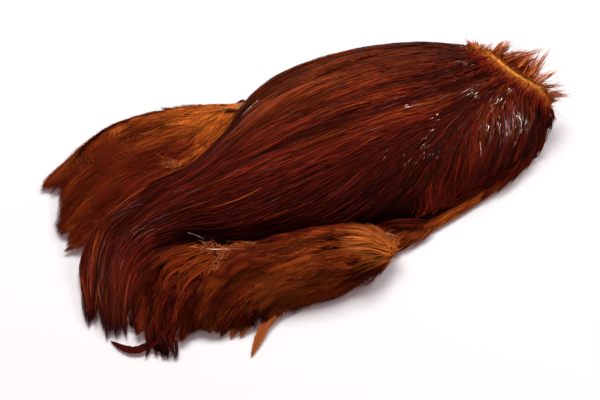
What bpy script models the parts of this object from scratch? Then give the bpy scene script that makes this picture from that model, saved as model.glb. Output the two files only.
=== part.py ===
# Rooster cape: a dried neck skin lying flat, with its hackles and side feathers.
# Metres, +Z up. +X points to the head end, and the skin rests on Z = 0.
import bmesh
import bpy
import numpy as np

MM = 0.001

# The skin and the bed that the feathers stand on, in millimetres
SKIN_THICKNESS = 1.5
FEATHER_BED = 1.8
THINNEST_TIP = 0.6

# The middle of the whole cape in the drawing's own millimetres
CENTRE = (13.47, 17.56)

# How fine the smooth sheets through the flow lines are worked out
STEPS_PER_SPAN = 8
FINE = 161
COLUMNS_PER_LOCK = 6
ROWS_PER_TIER = 5
SIDE_FADE = 4
ROOM_BELOW_TIPS = 0.004

# Flow lines of the feathers, drawn from root to tip: x, y and height in millimetres.
# They run side by side, from the far side of the cape to the near side.
HACKLE_LINES = [
    [(145, 28, 2.6), (136, 39, 2.6), (123, 52, 2.6), (103, 64, 2.6), (81, 73, 2.6), (56, 78, 2.6),
     (35, 79, 2.6), (14, 72, 2.6), (-13, 56, 2.6), (-41, 45, 2.6), (-60, 44, 2.6), (-79, 43, 2.6),
     (-96, 42, 2.6), (-112, 33, 2.6), (-122, 22, 2.6), (-129, 8, 2.6), (-137, -7, 2.4)],
    [(142, 25, 12), (133, 36, 11), (121, 48, 10), (102, 60, 10), (80, 69, 10), (56, 74, 10),
     (35, 75, 10), (13, 69, 11), (-12, 54, 14), (-40, 43, 16), (-60, 42, 17), (-79, 41, 16),
     (-96, 40, 13), (-111, 32, 9), (-121, 21, 5), (-128, 7, 3), (-136, -8, 2.4)],
    [(137, 10, 20), (112, 20, 24), (80, 33, 24), (44, 40, 24), (12, 42, 23), (-15, 38, 22),
     (-40, 33, 21), (-66, 32, 20), (-88, 32, 17), (-104, 27, 12), (-118, 13, 7), (-128, -1, 4),
     (-134, -14, 2.4)],
    [(131, -12, 28), (111, -13, 31), (79, -10, 31), (52, -2, 30), (19, 7, 28), (-16, 13, 26),
     (-45, 18, 23), (-69, 23, 20), (-91, 24, 15), (-107, 16, 10), (-119, 2, 6), (-126, -9, 4),
     (-133, -20, 2.4)],
    [(132, -25, 29), (110, -30, 30), (81, -32, 29), (44, -28, 27), (10, -21, 24), (-22, -13, 21),
     (-47, -3, 17), (-67, 9, 15), (-85, 14, 14), (-101, 9, 11), (-112, -1, 7), (-121, -12, 5),
     (-129, -24, 2.4)],
    [(137, -33, 25), (115, -42, 24), (89, -48, 21), (61, -49, 18), (31, -44, 16), (5, -35, 13),
     (-19, -24, 10), (-42, -12, 7), (-55, -3, 6), (-67, 5, 9), (-83, 9.5, 10), (-98, 6, 9),
     (-110, -3, 6), (-119.5, -14, 4), (-127, -25, 2.4)],
    [(141, -37, 19), (134, -41.5, 17), (124, -46, 14), (109, -50, 10.5), (91, -51.5, 8.5),
     (69, -52.5, 6.5), (52, -52, 5), (36, -49, 4), (20, -42, 3.4), (5, -38, 3.4), (-19, -27, 3.4),
     (-42, -15.5, 3.4), (-56, -6.5, 4), (-65, -1, 7), (-73, 4.5, 8), (-83, 6.8, 8.5), (-98, 3.5, 7.5),
     (-109, -4.5, 5.5), (-118.5, -15, 4), (-125, -26, 2.4)],
]
CREST_LINES = [
    [(147.5, 29, 8), (149.5, 33, 7.5), (150, 39, 6)],
    [(140, 9, 20), (148, 13, 19), (157, 17, 15)],
    [(135.5, -7, 26), (147, -2, 25), (160, 2, 21)],
    [(134, -18, 28), (149, -14, 27), (168, -9, 22)],
    [(136, -26, 28), (147, -26, 26), (160, -25, 22)],
    [(141, -33, 24), (148, -36, 22), (156, -40, 17)],
    [(143.5, -37.5, 17), (146, -41, 13), (149, -46, 7)],
]
EDGE_LINES = [
    [(136, -43.5, 13), (124, -48.5, 11), (109, -52.2, 8.8), (91, -53.6, 7), (69, -54.6, 5.8),
     (52, -54.2, 4.8), (38, -51.5, 4), (24, -46, 3)],
    [(136.5, -46, 9), (125, -51, 7), (108, -55.5, 6), (90, -57.5, 5), (70, -58.5, 4.6),
     (51, -59, 4), (36, -58, 3.4), (21, -55, 2.6)],
    [(137, -48, 4), (126, -53, 3), (106, -58.5, 2.8), (88, -61, 2.7), (70, -62.5, 2.6),
     (50, -63, 2.5), (35, -63.5, 2.4), (19, -64, 2.4)],
]
FAR_LINES = [
    [(14, 76, 2.6), (-8, 88, 2.6), (-26, 100, 2.6), (-44, 105.5, 2.6), (-59, 105.5, 2.6),
     (-79, 101.5, 2.6), (-94, 96, 2.6), (-106, 90, 2.4)],
    [(13, 73.5, 7), (-6, 84, 8), (-24, 96, 8), (-43, 102, 8), (-59, 102, 8), (-78, 98, 7),
     (-92, 92.5, 5), (-105, 87, 2.4)],
    [(8, 71.5, 9), (-16, 69, 13), (-35, 74, 14), (-57, 77, 13), (-78, 77, 11), (-96, 74, 7),
     (-114, 67, 2.4)],
    [(2, 68, 9), (-14, 61, 13), (-32, 57, 14), (-51, 57, 13), (-72, 58, 12), (-90, 58, 9),
     (-106, 54, 6), (-120, 49, 2.4)],
    [(-2, 65.5, 9), (-14, 58.6, 13), (-28, 52.6, 14), (-42, 46.8, 14.5), (-60, 45.4, 14.5),
     (-79, 44.4, 13), (-96, 43.8, 10), (-108, 42, 6), (-121, 41, 2.4)],
]
NEAR_LINES = [
    [(14, -52, 9), (6, -45, 14.5), (-6, -37.5, 16), (-20, -31.5, 17), (-33, -26.5, 16),
     (-45, -21.5, 15), (-55, -15, 13), (-63, -12, 12), (-72, -18.8, 12), (-83, -26, 9),
     (-96, -32, 6), (-106, -41, 3.4), (-111, -50, 2.4)],
    [(14, -57, 10), (0, -53, 18.5), (-13, -46, 21), (-31, -40, 21), (-48, -34, 20), (-63, -27, 17),
     (-80, -31, 12), (-94, -38, 6), (-106, -48, 2.4)],
    [(12, -62, 10), (-8, -60, 18.5), (-24, -53, 20), (-41, -47, 19), (-59, -41, 16), (-75, -42, 11),
     (-88, -46, 5), (-98, -53, 2.4)],
    [(10, -66.5, 8), (-12, -66.5, 14.5), (-30, -61, 16), (-47, -54, 13), (-61, -50, 9), (-73, -53, 5),
     (-85, -59, 2.4)],
    [(7, -69.5, 5), (-9, -71, 4), (-23, -69, 4), (-38, -63, 4), (-51, -57.5, 4), (-63, -60, 3),
     (-84, -70, 2.4)],
]
WHORL_LINES = [
    [(-66, -4.5, 11), (-73, 2.6, 12), (-83, 4.8, 12), (-97, 1.6, 10), (-108, -6.4, 7),
     (-117, -17, 4), (-123, -27, 2.4)],
    [(-66, -7, 12), (-80, -9, 12), (-97, -14, 9), (-110, -24, 5), (-120, -35, 2.4)],
    [(-66, -9.5, 12), (-74, -17, 12), (-84, -23.5, 9), (-97, -29.5, 6), (-108, -39, 3.4),
     (-115, -48, 2.4)],
]
# The skin's outline, which stays inside the feathers' reach all the way round
SKIN_OUTLINE = [
    (144, 16), (126, 36), (100, 52), (70, 63), (36, 66), (6, 62), (-14, 72), (-38, 88), (-62, 90),
    (-84, 80), (-98, 62), (-106, 40), (-114, 16), (-120, -6), (-112, -26), (-94, -36), (-72, -44),
    (-46, -52), (-20, -62), (2, -62), (20, -50), (52, -54), (90, -52), (120, -44), (140, -30),
    (148, -8),
]


def clear_scene():
    for thing in list(bpy.data.objects):
        bpy.data.objects.remove(thing, do_unlink=True)


def finish(name, colour, roughness):
    material = bpy.data.materials.new(name)
    material.use_nodes = True
    shader = material.node_tree.nodes["Principled BSDF"]
    shader.inputs["Base Color"].default_value = (*colour, 1.0)
    shader.inputs["Roughness"].default_value = roughness
    return material


def smooth_curve(points):
    """Points along a Catmull-Rom curve through the given points."""
    through = np.array(points, dtype=float)
    ends = np.vstack([2 * through[0] - through[1], through, 2 * through[-1] - through[-2]])
    step = np.linspace(0, 1, STEPS_PER_SPAN, endpoint=False)[:, None]
    spans = []
    for index in range(len(through) - 1):
        before, start, end, after = ends[index:index + 4]
        pull = (end - before) * step
        bend = (2 * before - 5 * start + 4 * end - after) * step ** 2
        twist = (3 * start - before - 3 * end + after) * step ** 3
        spans.append(start + 0.5 * (pull + bend + twist))
    return np.vstack(spans + [through[-1:]])


def evenly(points, count):
    """The same curve with its points the same distance apart."""
    steps = np.linalg.norm(np.diff(points, axis=0), axis=1)
    length = np.concatenate([[0], np.cumsum(steps)])
    where = np.linspace(0, length[-1], count)
    return np.column_stack([np.interp(where, length, points[:, axis]) for axis in range(3)])


def flow_sheet(lines):
    """A fine grid of points on the smooth sheet through flow lines, and its normals."""
    even = np.array([evenly(smooth_curve(line), FINE) for line in lines])
    apart = np.linalg.norm(np.diff(even, axis=0), axis=2).mean(axis=1)
    knots = np.concatenate([[0], np.cumsum(apart)]) / apart.sum()
    across = np.linspace(0, 1, FINE)
    rows = []
    for row in range(FINE):
        curve = smooth_curve(even[:, row])
        at_line = np.arange(len(curve)) / STEPS_PER_SPAN
        place = np.interp(at_line, np.arange(len(lines)), knots)
        rows.append(np.column_stack([np.interp(across, place, curve[:, axis]) for axis in range(3)]))
    sheet = np.array(rows)
    normals = np.cross(np.gradient(sheet, axis=0), np.gradient(sheet, axis=1))
    normals /= np.maximum(np.linalg.norm(normals, axis=2, keepdims=True), 1e-9)
    normals *= np.where(normals[:, :, 2:] < 0, -1.0, 1.0)
    return sheet, normals


def read_sheet(grid, along, across):
    """The grid's value between its points, along and across from 0 to 1."""
    row = min(max(along, 0.0), 1.0) * (FINE - 1)
    column = min(max(across, 0.0), 1.0) * (FINE - 1)
    low_row = min(int(row), FINE - 2)
    low_column = min(int(column), FINE - 2)
    down = row - low_row
    over = column - low_column
    first = grid[low_row, low_column] * (1 - over) + grid[low_row, low_column + 1] * over
    second = grid[low_row + 1, low_column] * (1 - over) + grid[low_row + 1, low_column + 1] * over
    return first * (1 - down) + second * down


def tip_lines(tiers, locks, depth, chance):
    """For each tier, how far its pointed tips reach at every column."""
    columns = np.arange(locks * COLUMNS_PER_LOCK + 1) / COLUMNS_PER_LOCK
    lines = []
    for tier, reach in enumerate(tiers):
        half = np.arange(2 * locks + 1)
        is_tip = (half + tier) % 2 == 1
        dips = depth * (0.85 + 0.3 * chance.random(len(half)))
        short = 0.35 * depth * chance.random(len(half))
        lines.append(np.interp(columns, half / 2, reach - np.where(is_tip, short, dips)))
    return lines


def feather_mass(name, lines, tiers, locks, depth, ledge, pleat, undercut, seed):
    """One closed mass of feathers: tiers of pointed locks, fused to the bed they grow from."""
    sheet, normals = flow_sheet(lines)
    chance = np.random.default_rng(seed)
    tips = tip_lines(tiers, locks, depth, chance)
    columns = locks * COLUMNS_PER_LOCK
    rows = len(tiers) * (ROWS_PER_TIER + 1) - 1
    start = np.zeros(columns + 1)

    def grid_place(row, column):
        tier = min(row // (ROWS_PER_TIER + 1), len(tiers) - 1)
        step = (row - tier * (ROWS_PER_TIER + 1)) / ROWS_PER_TIER
        before = start if tier == 0 else tips[tier - 1] + ROOM_BELOW_TIPS
        along = before[column] + (tips[tier][column] - before[column]) * step
        return tier, step, along

    def top(row, column):
        tier, step, along = grid_place(row, column)
        across = column / columns
        side = 2 * ((column / COLUMNS_PER_LOCK + 0.5 * (tier % 2)) % 1.0) - 1
        inner = min(1.0, min(column, columns - column) / SIDE_FADE, row / 2)
        last = 1.0 if tier < len(tiers) - 1 else 1 - step
        rise = ledge * (step - 0.5) * last + pleat * (0.6 - side ** 2)
        point = read_sheet(sheet, along, across) + read_sheet(normals, along, across) * rise * inner
        point[2] = max(point[2], FEATHER_BED + THINNEST_TIP)
        return point

    def foot(row, column):
        tier, step, along = grid_place(row, column)
        point = top(row, column)
        if row == rows:
            point = read_sheet(sheet, along - undercut, column / columns)
        point[2] = FEATHER_BED
        return point

    body = bmesh.new()
    row_of = body.verts.layers.int.new("row")
    column_of = body.verts.layers.int.new("column")
    bmesh.ops.create_grid(body, x_segments=rows, y_segments=columns, size=0.5)
    for corner in body.verts:
        corner[row_of] = round((corner.co.x + 0.5) * rows)
        corner[column_of] = round((corner.co.y + 0.5) * columns)
    rim = [edge for edge in body.edges if edge.is_boundary]
    skirt = bmesh.ops.extrude_edge_only(body, edges=rim)["geom"]
    low = {item for item in skirt if isinstance(item, bmesh.types.BMVert)}
    for corner in body.verts:
        place = foot if corner in low else top
        x, y, z = place(corner[row_of], corner[column_of])
        corner.co = ((x - CENTRE[0]) * MM, (y - CENTRE[1]) * MM, z * MM)
    hem = [edge for edge in body.edges if edge.is_boundary]
    bmesh.ops.contextual_create(body, geom=hem)
    bmesh.ops.triangulate(body, faces=list(body.faces))
    bmesh.ops.recalc_face_normals(body, faces=list(body.faces))
    mesh = bpy.data.meshes.new(name)
    body.to_mesh(mesh)
    body.free()
    mesh.set_sharp_from_angle(angle=0.9)
    return bpy.data.objects.new(name, mesh)


def skin():
    """The dried hide: a flat outline with an even thickness."""
    outline = bpy.data.curves.new("skin", "CURVE")
    outline.dimensions = "2D"
    outline.fill_mode = "BOTH"
    outline.extrude = SKIN_THICKNESS / 2 * MM
    outline.resolution_u = 4
    edge = outline.splines.new("BEZIER")
    edge.bezier_points.add(len(SKIN_OUTLINE) - 1)
    for point, (x, y) in zip(edge.bezier_points, SKIN_OUTLINE):
        point.co = ((x - CENTRE[0]) * MM, (y - CENTRE[1]) * MM, 0)
        point.handle_left_type = "AUTO"
        point.handle_right_type = "AUTO"
    edge.use_cyclic_u = True
    hide = bpy.data.objects.new("skin", outline)
    hide.location.z = SKIN_THICKNESS / 2 * MM
    return hide


def neck_hackles():
    """The long glossy hackles that cover the whole back of the neck."""
    return feather_mass("neck_hackles", HACKLE_LINES, tiers=(0.28, 0.52, 0.76, 1.0), locks=7,
                        depth=0.05, ledge=2.6, pleat=1.0, undercut=0.03, seed=11)


def crest_feathers():
    """The short spiky feathers that stand away from the parting at the head end."""
    return feather_mass("crest_feathers", CREST_LINES, tiers=(1.0,), locks=9,
                        depth=0.42, ledge=0.0, pleat=1.2, undercut=0.35, seed=23)


def edge_feathers():
    """The pale under-feathers that show along the near edge of the neck."""
    return feather_mass("edge_feathers", EDGE_LINES, tiers=(0.3, 0.65, 1.0), locks=2,
                        depth=0.06, ledge=1.0, pleat=0.6, undercut=0.02, seed=31)


def far_side_feathers():
    """The broad webby feathers of the far side flap."""
    return feather_mass("far_side_feathers", FAR_LINES, tiers=(0.4, 0.72, 1.0), locks=6,
                        depth=0.09, ledge=2.0, pleat=1.0, undercut=0.05, seed=41)


def near_side_feathers():
    """The near side flap, folded up into a roll beside the hackles."""
    return feather_mass("near_side_feathers", NEAR_LINES, tiers=(0.4, 0.72, 1.0), locks=5,
                        depth=0.1, ledge=2.0, pleat=1.1, undercut=0.05, seed=53)


def shoulder_whorl():
    """The fan of feathers where the roll meets the tail end."""
    return feather_mass("shoulder_whorl", WHORL_LINES, tiers=(0.5, 1.0), locks=3,
                        depth=0.14, ledge=1.5, pleat=1.0, undercut=0.08, seed=61)


PARTS = [
    (skin, "dried skin", (0.62, 0.47, 0.27), 0.6),
    (neck_hackles, "glossy hackle", (0.13, 0.025, 0.010), 0.35),
    (crest_feathers, "crest feather", (0.30, 0.085, 0.020), 0.5),
    (edge_feathers, "pale under-feather", (0.42, 0.13, 0.030), 0.6),
    (far_side_feathers, "webby side feather", (0.24, 0.068, 0.018), 0.6),
    (near_side_feathers, "rolled side feather", (0.26, 0.072, 0.020), 0.6),
    (shoulder_whorl, "shoulder feather", (0.16, 0.035, 0.014), 0.55),
]


def build():
    clear_scene()
    cape = bpy.data.collections.new("rooster cape")
    bpy.context.scene.collection.children.link(cape)
    for make, material, colour, roughness in PARTS:
        piece = make()
        piece.data.materials.append(finish(material, colour, roughness))
        cape.objects.link(piece)


build()
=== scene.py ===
# %% [markdown]
# # A rooster cape, feather by feather
# A cape is the dried skin of a rooster's neck with its feathers still growing from it. It is stored and shown
# lying flat, feathers up: a domed mantle of long glossy hackles, a spiky crest at the head end, and two side
# flaps of soft webby feathers, one spread out flat and one folded up into a roll.
#
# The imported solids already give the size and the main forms. This lesson keeps those forms and covers them
# with thousands of separate vanes, each one bent along the direction in which the real feathers flow.

# %% Load the frame
import math

import bpy
import numpy as np
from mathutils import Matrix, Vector


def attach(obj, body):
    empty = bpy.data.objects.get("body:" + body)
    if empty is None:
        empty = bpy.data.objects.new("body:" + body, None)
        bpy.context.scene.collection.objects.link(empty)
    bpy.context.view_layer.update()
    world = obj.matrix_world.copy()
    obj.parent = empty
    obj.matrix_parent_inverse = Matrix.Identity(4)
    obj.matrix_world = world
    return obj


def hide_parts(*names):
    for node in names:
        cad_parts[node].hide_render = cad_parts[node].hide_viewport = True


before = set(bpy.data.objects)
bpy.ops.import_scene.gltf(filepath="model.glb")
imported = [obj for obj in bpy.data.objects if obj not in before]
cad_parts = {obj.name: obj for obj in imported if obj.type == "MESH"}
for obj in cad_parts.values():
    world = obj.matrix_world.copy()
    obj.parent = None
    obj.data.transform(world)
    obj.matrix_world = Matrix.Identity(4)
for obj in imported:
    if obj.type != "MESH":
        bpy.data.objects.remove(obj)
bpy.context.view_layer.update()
MM = 0.001
print("solids in the frame:", sorted(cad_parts))

# %% [markdown]
# ## Flow lines
# Feathers on a skin lie in streams, all pointing from the head to the tail and fanning round the folds. The
# quickest honest way to steer thousands of feathers is to draw a few flow lines, root to tip, and let a
# smooth sheet pass through them. Every number is a real size in millimetres: x towards the head, y across,
# and the height above the table. The lines follow the forms of the solids closely, so the feathers stay on
# them. CENTRE is the place in this drawing that lies on the frame's origin.

# %% Draw the flow lines
CENTRE = (13.47, 17.56)

HACKLE_LINES = [
    [(145, 28, 2.6), (136, 39, 2.6), (123, 52, 2.6), (103, 63, 2.6), (81, 71, 2.6), (56, 75.5, 2.6),
     (35, 76, 2.6), (14, 69, 2.6), (-13, 53.5, 2.6), (-41, 43.5, 2.6), (-60, 44, 2.6), (-79, 43, 2.6),
     (-96, 42, 2.6), (-112, 33, 2.6), (-122, 22, 2.6), (-129, 8, 2.6), (-137, -7, 2.0)],
    [(142, 25, 12), (133, 36, 11), (121, 48, 10), (102, 59, 10), (80, 67, 10), (56, 71.5, 10),
     (35, 72, 10), (13, 66.5, 10.5), (-12, 52, 13.5), (-40, 42, 15.5), (-60, 42, 17), (-79, 41, 16),
     (-96, 40, 13), (-111, 32, 9), (-121, 21, 5), (-128, 7, 3), (-136, -8, 2.0)],
    [(137, 10, 20), (112, 20, 24), (80, 33, 24), (44, 40, 24), (12, 42, 23), (-15, 38, 22),
     (-40, 33, 21), (-66, 32, 20), (-88, 32, 17), (-104, 27, 12), (-118, 13, 7), (-128, -1, 4),
     (-134, -14, 2.0)],
    [(131, -12, 28), (111, -13, 31), (79, -10, 31), (52, -2, 30), (19, 7, 28), (-16, 13, 26),
     (-45, 18, 23), (-69, 23, 20), (-91, 24, 15), (-107, 16, 10), (-119, 2, 6), (-126, -9, 4),
     (-133, -20, 2.0)],
    [(132, -25, 29), (110, -30, 30), (81, -32, 29), (44, -28, 27), (10, -21, 24), (-22, -13, 21),
     (-47, -3, 17), (-67, 9, 15), (-85, 14, 14), (-101, 9, 11), (-112, -1, 7), (-121, -12, 5),
     (-129, -24, 2.0)],
    [(137, -33, 25), (115, -42, 24), (89, -48, 21), (61, -49, 18), (31, -44, 16), (5, -35, 13),
     (-19, -24, 10), (-42, -12, 7), (-55, -3, 6), (-67, 5, 9), (-83, 9.5, 10), (-98, 6, 9),
     (-110, -3, 6), (-119.5, -14, 4), (-127, -25, 2.0)],
    [(141, -37, 19), (134, -41.5, 17), (124, -46, 14), (109, -50, 10.5), (91, -51.5, 8.5),
     (69, -52.5, 6.5), (52, -52, 5), (36, -49, 4), (20, -42, 3.4), (5, -38, 3.4), (-19, -27, 3.4),
     (-42, -15.5, 3.4), (-56, -6.5, 4), (-65, -1, 7), (-73, 4.5, 8), (-83, 6.8, 8.5), (-98, 3.5, 7.5),
     (-109, -4.5, 5.5), (-118.5, -15, 4), (-125, -26, 2.0)],
]
CREST_LINES = [
    [(147.5, 29, 8), (149.5, 33, 7.5), (150, 39, 6)],
    [(140, 9, 20), (148, 13, 19), (157, 17, 15)],
    [(135.5, -7, 26), (147, -2, 25), (160, 2, 21)],
    [(134, -18, 28), (149, -14, 27), (168, -9, 22)],
    [(136, -26, 28), (147, -26, 26), (160, -25, 22)],
    [(141, -33, 24), (148, -36, 22), (156, -40, 17)],
    [(143.5, -37.5, 17), (146, -41, 13), (149, -46, 7)],
]
EDGE_LINES = [
    [(136, -43.5, 13), (124, -48.5, 11), (109, -52.2, 8.8), (91, -53.6, 7), (69, -54.6, 5.8),
     (52, -54.2, 4.8), (38, -51.5, 4), (24, -46, 3)],
    [(134, -45.5, 9), (124, -50.5, 7), (108, -54.8, 6), (90, -56.4, 5), (70, -57, 4.6),
     (51, -57, 4), (36, -56, 3.4), (21, -53.5, 2.6)],
    [(130.5, -48, 4), (122, -52.5, 3), (106, -57.5, 2.8), (88, -59.5, 2.7), (70, -60.5, 2.6),
     (50, -60.5, 2.5), (35, -60.5, 2.4), (19, -61, 2.2)],
]
FAR_LINES = [
    [(14, 75, 2.6), (-8, 86.5, 2.6), (-27, 96, 2.6), (-44, 100.2, 2.6), (-59, 100.7, 2.6),
     (-79, 97, 2.6), (-94, 92.5, 2.6), (-105, 89.5, 2.0)],
    [(13, 72.5, 7), (-6, 82.5, 8), (-25, 91.5, 8), (-43, 96, 8), (-59, 97, 8), (-78, 93.5, 7),
     (-92, 88.5, 5), (-104, 86, 2.0)],
    [(8, 71.5, 9), (-16, 69, 13), (-35, 74, 14), (-57, 77, 13), (-78, 77, 11), (-96, 74, 7),
     (-114, 67, 2.0)],
    [(2, 68, 9), (-14, 61, 13), (-32, 57, 14), (-51, 57, 13), (-72, 58, 12), (-90, 58, 9),
     (-106, 54, 6), (-120, 49, 2.0)],
    [(0, 60.5, 8), (-13, 54.6, 11.5), (-28, 49.8, 13), (-42, 46, 14), (-60, 45.4, 14.5),
     (-79, 44.4, 13), (-96, 43.8, 10), (-108, 42, 6), (-121, 41, 2.0)],
]
NEAR_LINES = [
    [(14, -52, 9), (6, -45, 14.5), (-6, -37.5, 16), (-20, -31.5, 17), (-33, -26.5, 16),
     (-45, -21.5, 15), (-55, -15, 13), (-63, -12, 12), (-72, -18.8, 12), (-83, -26, 9),
     (-96, -32, 6), (-106, -41, 3.4), (-111, -50, 2.0)],
    [(14, -57, 10), (0, -53, 18.5), (-13, -46, 21), (-31, -40, 21), (-48, -34, 20), (-63, -27, 17),
     (-80, -31, 12), (-94, -38, 6), (-106, -48, 2.0)],
    [(12, -62, 10), (-8, -60, 18.5), (-24, -53, 20), (-41, -47, 19), (-59, -41, 16), (-75, -42, 11),
     (-88, -46, 5), (-98, -53, 2.0)],
    [(10, -64, 8), (-12, -64.5, 14.5), (-30, -60.5, 16), (-47, -54, 13), (-61, -50, 9), (-73, -53, 5),
     (-85, -59, 2.0)],
    [(7, -66.5, 5), (-9, -67.5, 4), (-23, -66.5, 4), (-38, -61.5, 4), (-51, -58.5, 4), (-63, -60, 3),
     (-84, -70, 2.0)],
]
WHORL_LINES = [
    [(-66, -4.5, 11), (-73, 2.6, 12), (-83, 4.8, 12), (-97, 1.6, 10), (-108, -6.4, 7),
     (-117, -17, 4), (-123, -27, 2.0)],
    [(-66, -7, 12), (-80, -9, 12), (-97, -14, 9), (-110, -24, 5), (-120, -35, 2.0)],
    [(-66, -9.5, 12), (-74, -17, 12), (-84, -23.5, 9), (-97, -29.5, 6), (-108, -39, 3.4),
     (-115, -48, 2.0)],
]
print("flow lines drawn:", len(HACKLE_LINES) + len(CREST_LINES) + len(EDGE_LINES) + len(FAR_LINES)
      + len(NEAR_LINES) + len(WHORL_LINES))

# %% [markdown]
# ## The smooth sheet
# A Catmull-Rom curve passes through every drawn point, first along each line and then across all of them.
# The result is a grid of places on the feathers' top surface. With it come the normals and the two ways over
# the sheet, along the flow and across it, so a feather can be laid anywhere by two numbers from 0 to 1.

# %% Make a sheet through flow lines
STEPS_PER_SPAN = 8
FINE = 161


def smooth_curve(points):
    """The Catmull-Rom curve through the points, in short steps."""
    through = np.array(points, dtype=float)
    ends = np.vstack([2 * through[0] - through[1], through, 2 * through[-1] - through[-2]])
    step = np.linspace(0, 1, STEPS_PER_SPAN, endpoint=False)[:, None]
    spans = []
    for index in range(len(through) - 1):
        before, start, end, after = ends[index:index + 4]
        pull = (end - before) * step
        bend = (2 * before - 5 * start + 4 * end - after) * step ** 2
        twist = (3 * start - before - 3 * end + after) * step ** 3
        spans.append(start + 0.5 * (pull + bend + twist))
    return np.vstack(spans + [through[-1:]])


def evenly(points, count):
    """So many places spaced evenly along a curve."""
    steps = np.linalg.norm(np.diff(points, axis=0), axis=1)
    length = np.concatenate([[0], np.cumsum(steps)])
    where = np.linspace(0, length[-1], count)
    return np.column_stack([np.interp(where, length, points[:, axis]) for axis in range(3)])


def unit(vectors):
    return vectors / np.maximum(np.linalg.norm(vectors, axis=-1, keepdims=True), 1e-9)


class Sheet:
    """The smooth top surface through some flow lines, read by along and across, each 0 to 1."""

    def __init__(self, lines):
        even = np.array([evenly(smooth_curve(line), FINE) for line in lines])
        apart = np.linalg.norm(np.diff(even, axis=0), axis=2).mean(axis=1)
        knots = np.concatenate([[0], np.cumsum(apart)]) / apart.sum()
        across = np.linspace(0, 1, FINE)
        rows = []
        for row in range(FINE):
            curve = smooth_curve(even[:, row])
            place = np.interp(np.arange(len(curve)) / STEPS_PER_SPAN, np.arange(len(lines)), knots)
            rows.append(np.column_stack([np.interp(across, place, curve[:, axis]) for axis in range(3)]))
        self.places = np.array(rows) - np.array([*CENTRE, 0])
        self.along_way = np.gradient(self.places, axis=0) * (FINE - 1)
        self.across_way = np.gradient(self.places, axis=1) * (FINE - 1)
        normals = np.cross(self.along_way, self.across_way)
        self.normals = unit(normals * np.where(normals[:, :, 2:] < 0, -1.0, 1.0))
        self.area = np.linalg.norm(normals, axis=2)
        self.long = np.linalg.norm(self.along_way, axis=2).mean()
        self.wide = np.linalg.norm(self.across_way, axis=2).mean()

    def read(self, grid, along, across):
        down = np.clip(along, 0, 1) * (FINE - 1)
        over = np.clip(across, 0, 1) * (FINE - 1)
        row = np.minimum(down.astype(int), FINE - 2)
        column = np.minimum(over.astype(int), FINE - 2)
        down = (down - row)[..., None]
        over = (over - column)[..., None]
        first = grid[row, column] * (1 - over) + grid[row, column + 1] * over
        second = grid[row + 1, column] * (1 - over) + grid[row + 1, column + 1] * over
        return first * (1 - down) + second * down

    def place(self, along, across):
        beyond = (along - np.clip(along, 0, 1))[..., None]
        beside = (across - np.clip(across, 0, 1))[..., None]
        point = self.read(self.places, along, across)
        point = point + beyond * self.read(self.along_way, along, across)
        return point + beside * self.read(self.across_way, along, across)


hackle_sheet = Sheet(HACKLE_LINES)
crest_sheet = Sheet(CREST_LINES)
edge_sheet = Sheet(EDGE_LINES)
far_sheet = Sheet(FAR_LINES)
near_sheet = Sheet(NEAR_LINES)
whorl_sheet = Sheet(WHORL_LINES)
print("hackle sheet:", round(hackle_sheet.area.mean() / 100), "square centimetres")

# %% [markdown]
# ## One feather of each kind
# A feather is a stiff shaft with a row of barbs on each side. On a hackle the barbs are long and lie almost
# along the shaft, on a side feather they stand out more and end in a rounded outline. One blade of each kind
# is modelled as by hand: a narrow grid primitive is the shaft, and each edge segment of its two sides is
# extruded and merged to a point, which makes one long flat barb. So a few dozen triangles already part at the
# edges and the tip as a real vane does, and thousands of copies can lie side by side. A strand, the loose
# edge of a vane, is only the tapered grid.

# %% Model the blades
OUTLINES = {
    "hackle": [0.35, 0.70, 0.90, 1.0, 1.0, 0.96, 0.88, 0.78, 0.64, 0.46, 0.22],
    "webby": [0.30, 0.62, 0.84, 0.96, 1.02, 1.05, 1.05, 1.00, 0.90, 0.72, 0.42],
    "spike": [0.90, 1.0, 0.92, 0.82, 0.70, 0.60, 0.50, 0.40, 0.30, 0.20, 0.10],
}
SHAFT_HALF = 0.07
TAPER_FROM = 1.04
BARB_LENGTHS = (0.84, 1.1)
BARB_SLANTS = (0.8, 1.2)
BARB_DROOPS = (0.7, 1.3)
FLAT_EDGE = 1e-4


def nothing_selected():
    if bpy.context.object and bpy.context.object.mode != "OBJECT":
        bpy.ops.object.mode_set(mode="OBJECT")
    bpy.ops.object.select_all(action="DESELECT")


def add_shaft(pieces, half):
    """A narrow grid 1 long that tapers to its tip."""
    nothing_selected()
    bpy.ops.mesh.primitive_grid_add(x_subdivisions=1, y_subdivisions=pieces, size=1, location=(0, 0.5, 0))
    bpy.ops.object.transform_apply(location=True, rotation=False, scale=False)
    shaft = bpy.context.object
    for corner in shaft.data.vertices:
        corner.co.x *= 2 * half * (TAPER_FROM - corner.co.y ** 2)
    return shaft


def blade_arrays(blade, shade_at, name):
    """Take the finished blade apart into corners, upward triangles and a shade for each corner."""
    nothing_selected()
    blade.select_set(True)
    bpy.context.view_layer.objects.active = blade
    bpy.ops.object.mode_set(mode="EDIT")
    bpy.ops.mesh.select_all(action="SELECT")
    bpy.ops.mesh.quads_convert_to_tris()
    bpy.ops.object.mode_set(mode="OBJECT")
    corners = np.array([tuple(corner.co) for corner in blade.data.vertices])
    triangles = np.array([tuple(face.vertices) for face in blade.data.polygons])
    first, second, third = (corners[triangles[:, index], :2] for index in range(3))
    ahead, beside = second - first, third - first
    downward = ahead[:, 0] * beside[:, 1] < ahead[:, 1] * beside[:, 0]
    triangles[downward] = triangles[downward][:, ::-1]
    corners[:, 1] /= corners[:, 1].max()
    bpy.data.objects.remove(blade, do_unlink=True)
    print(name, "blade:", len(corners), "corners,", len(triangles), "triangles")
    return corners, triangles, shade_at(corners)


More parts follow.
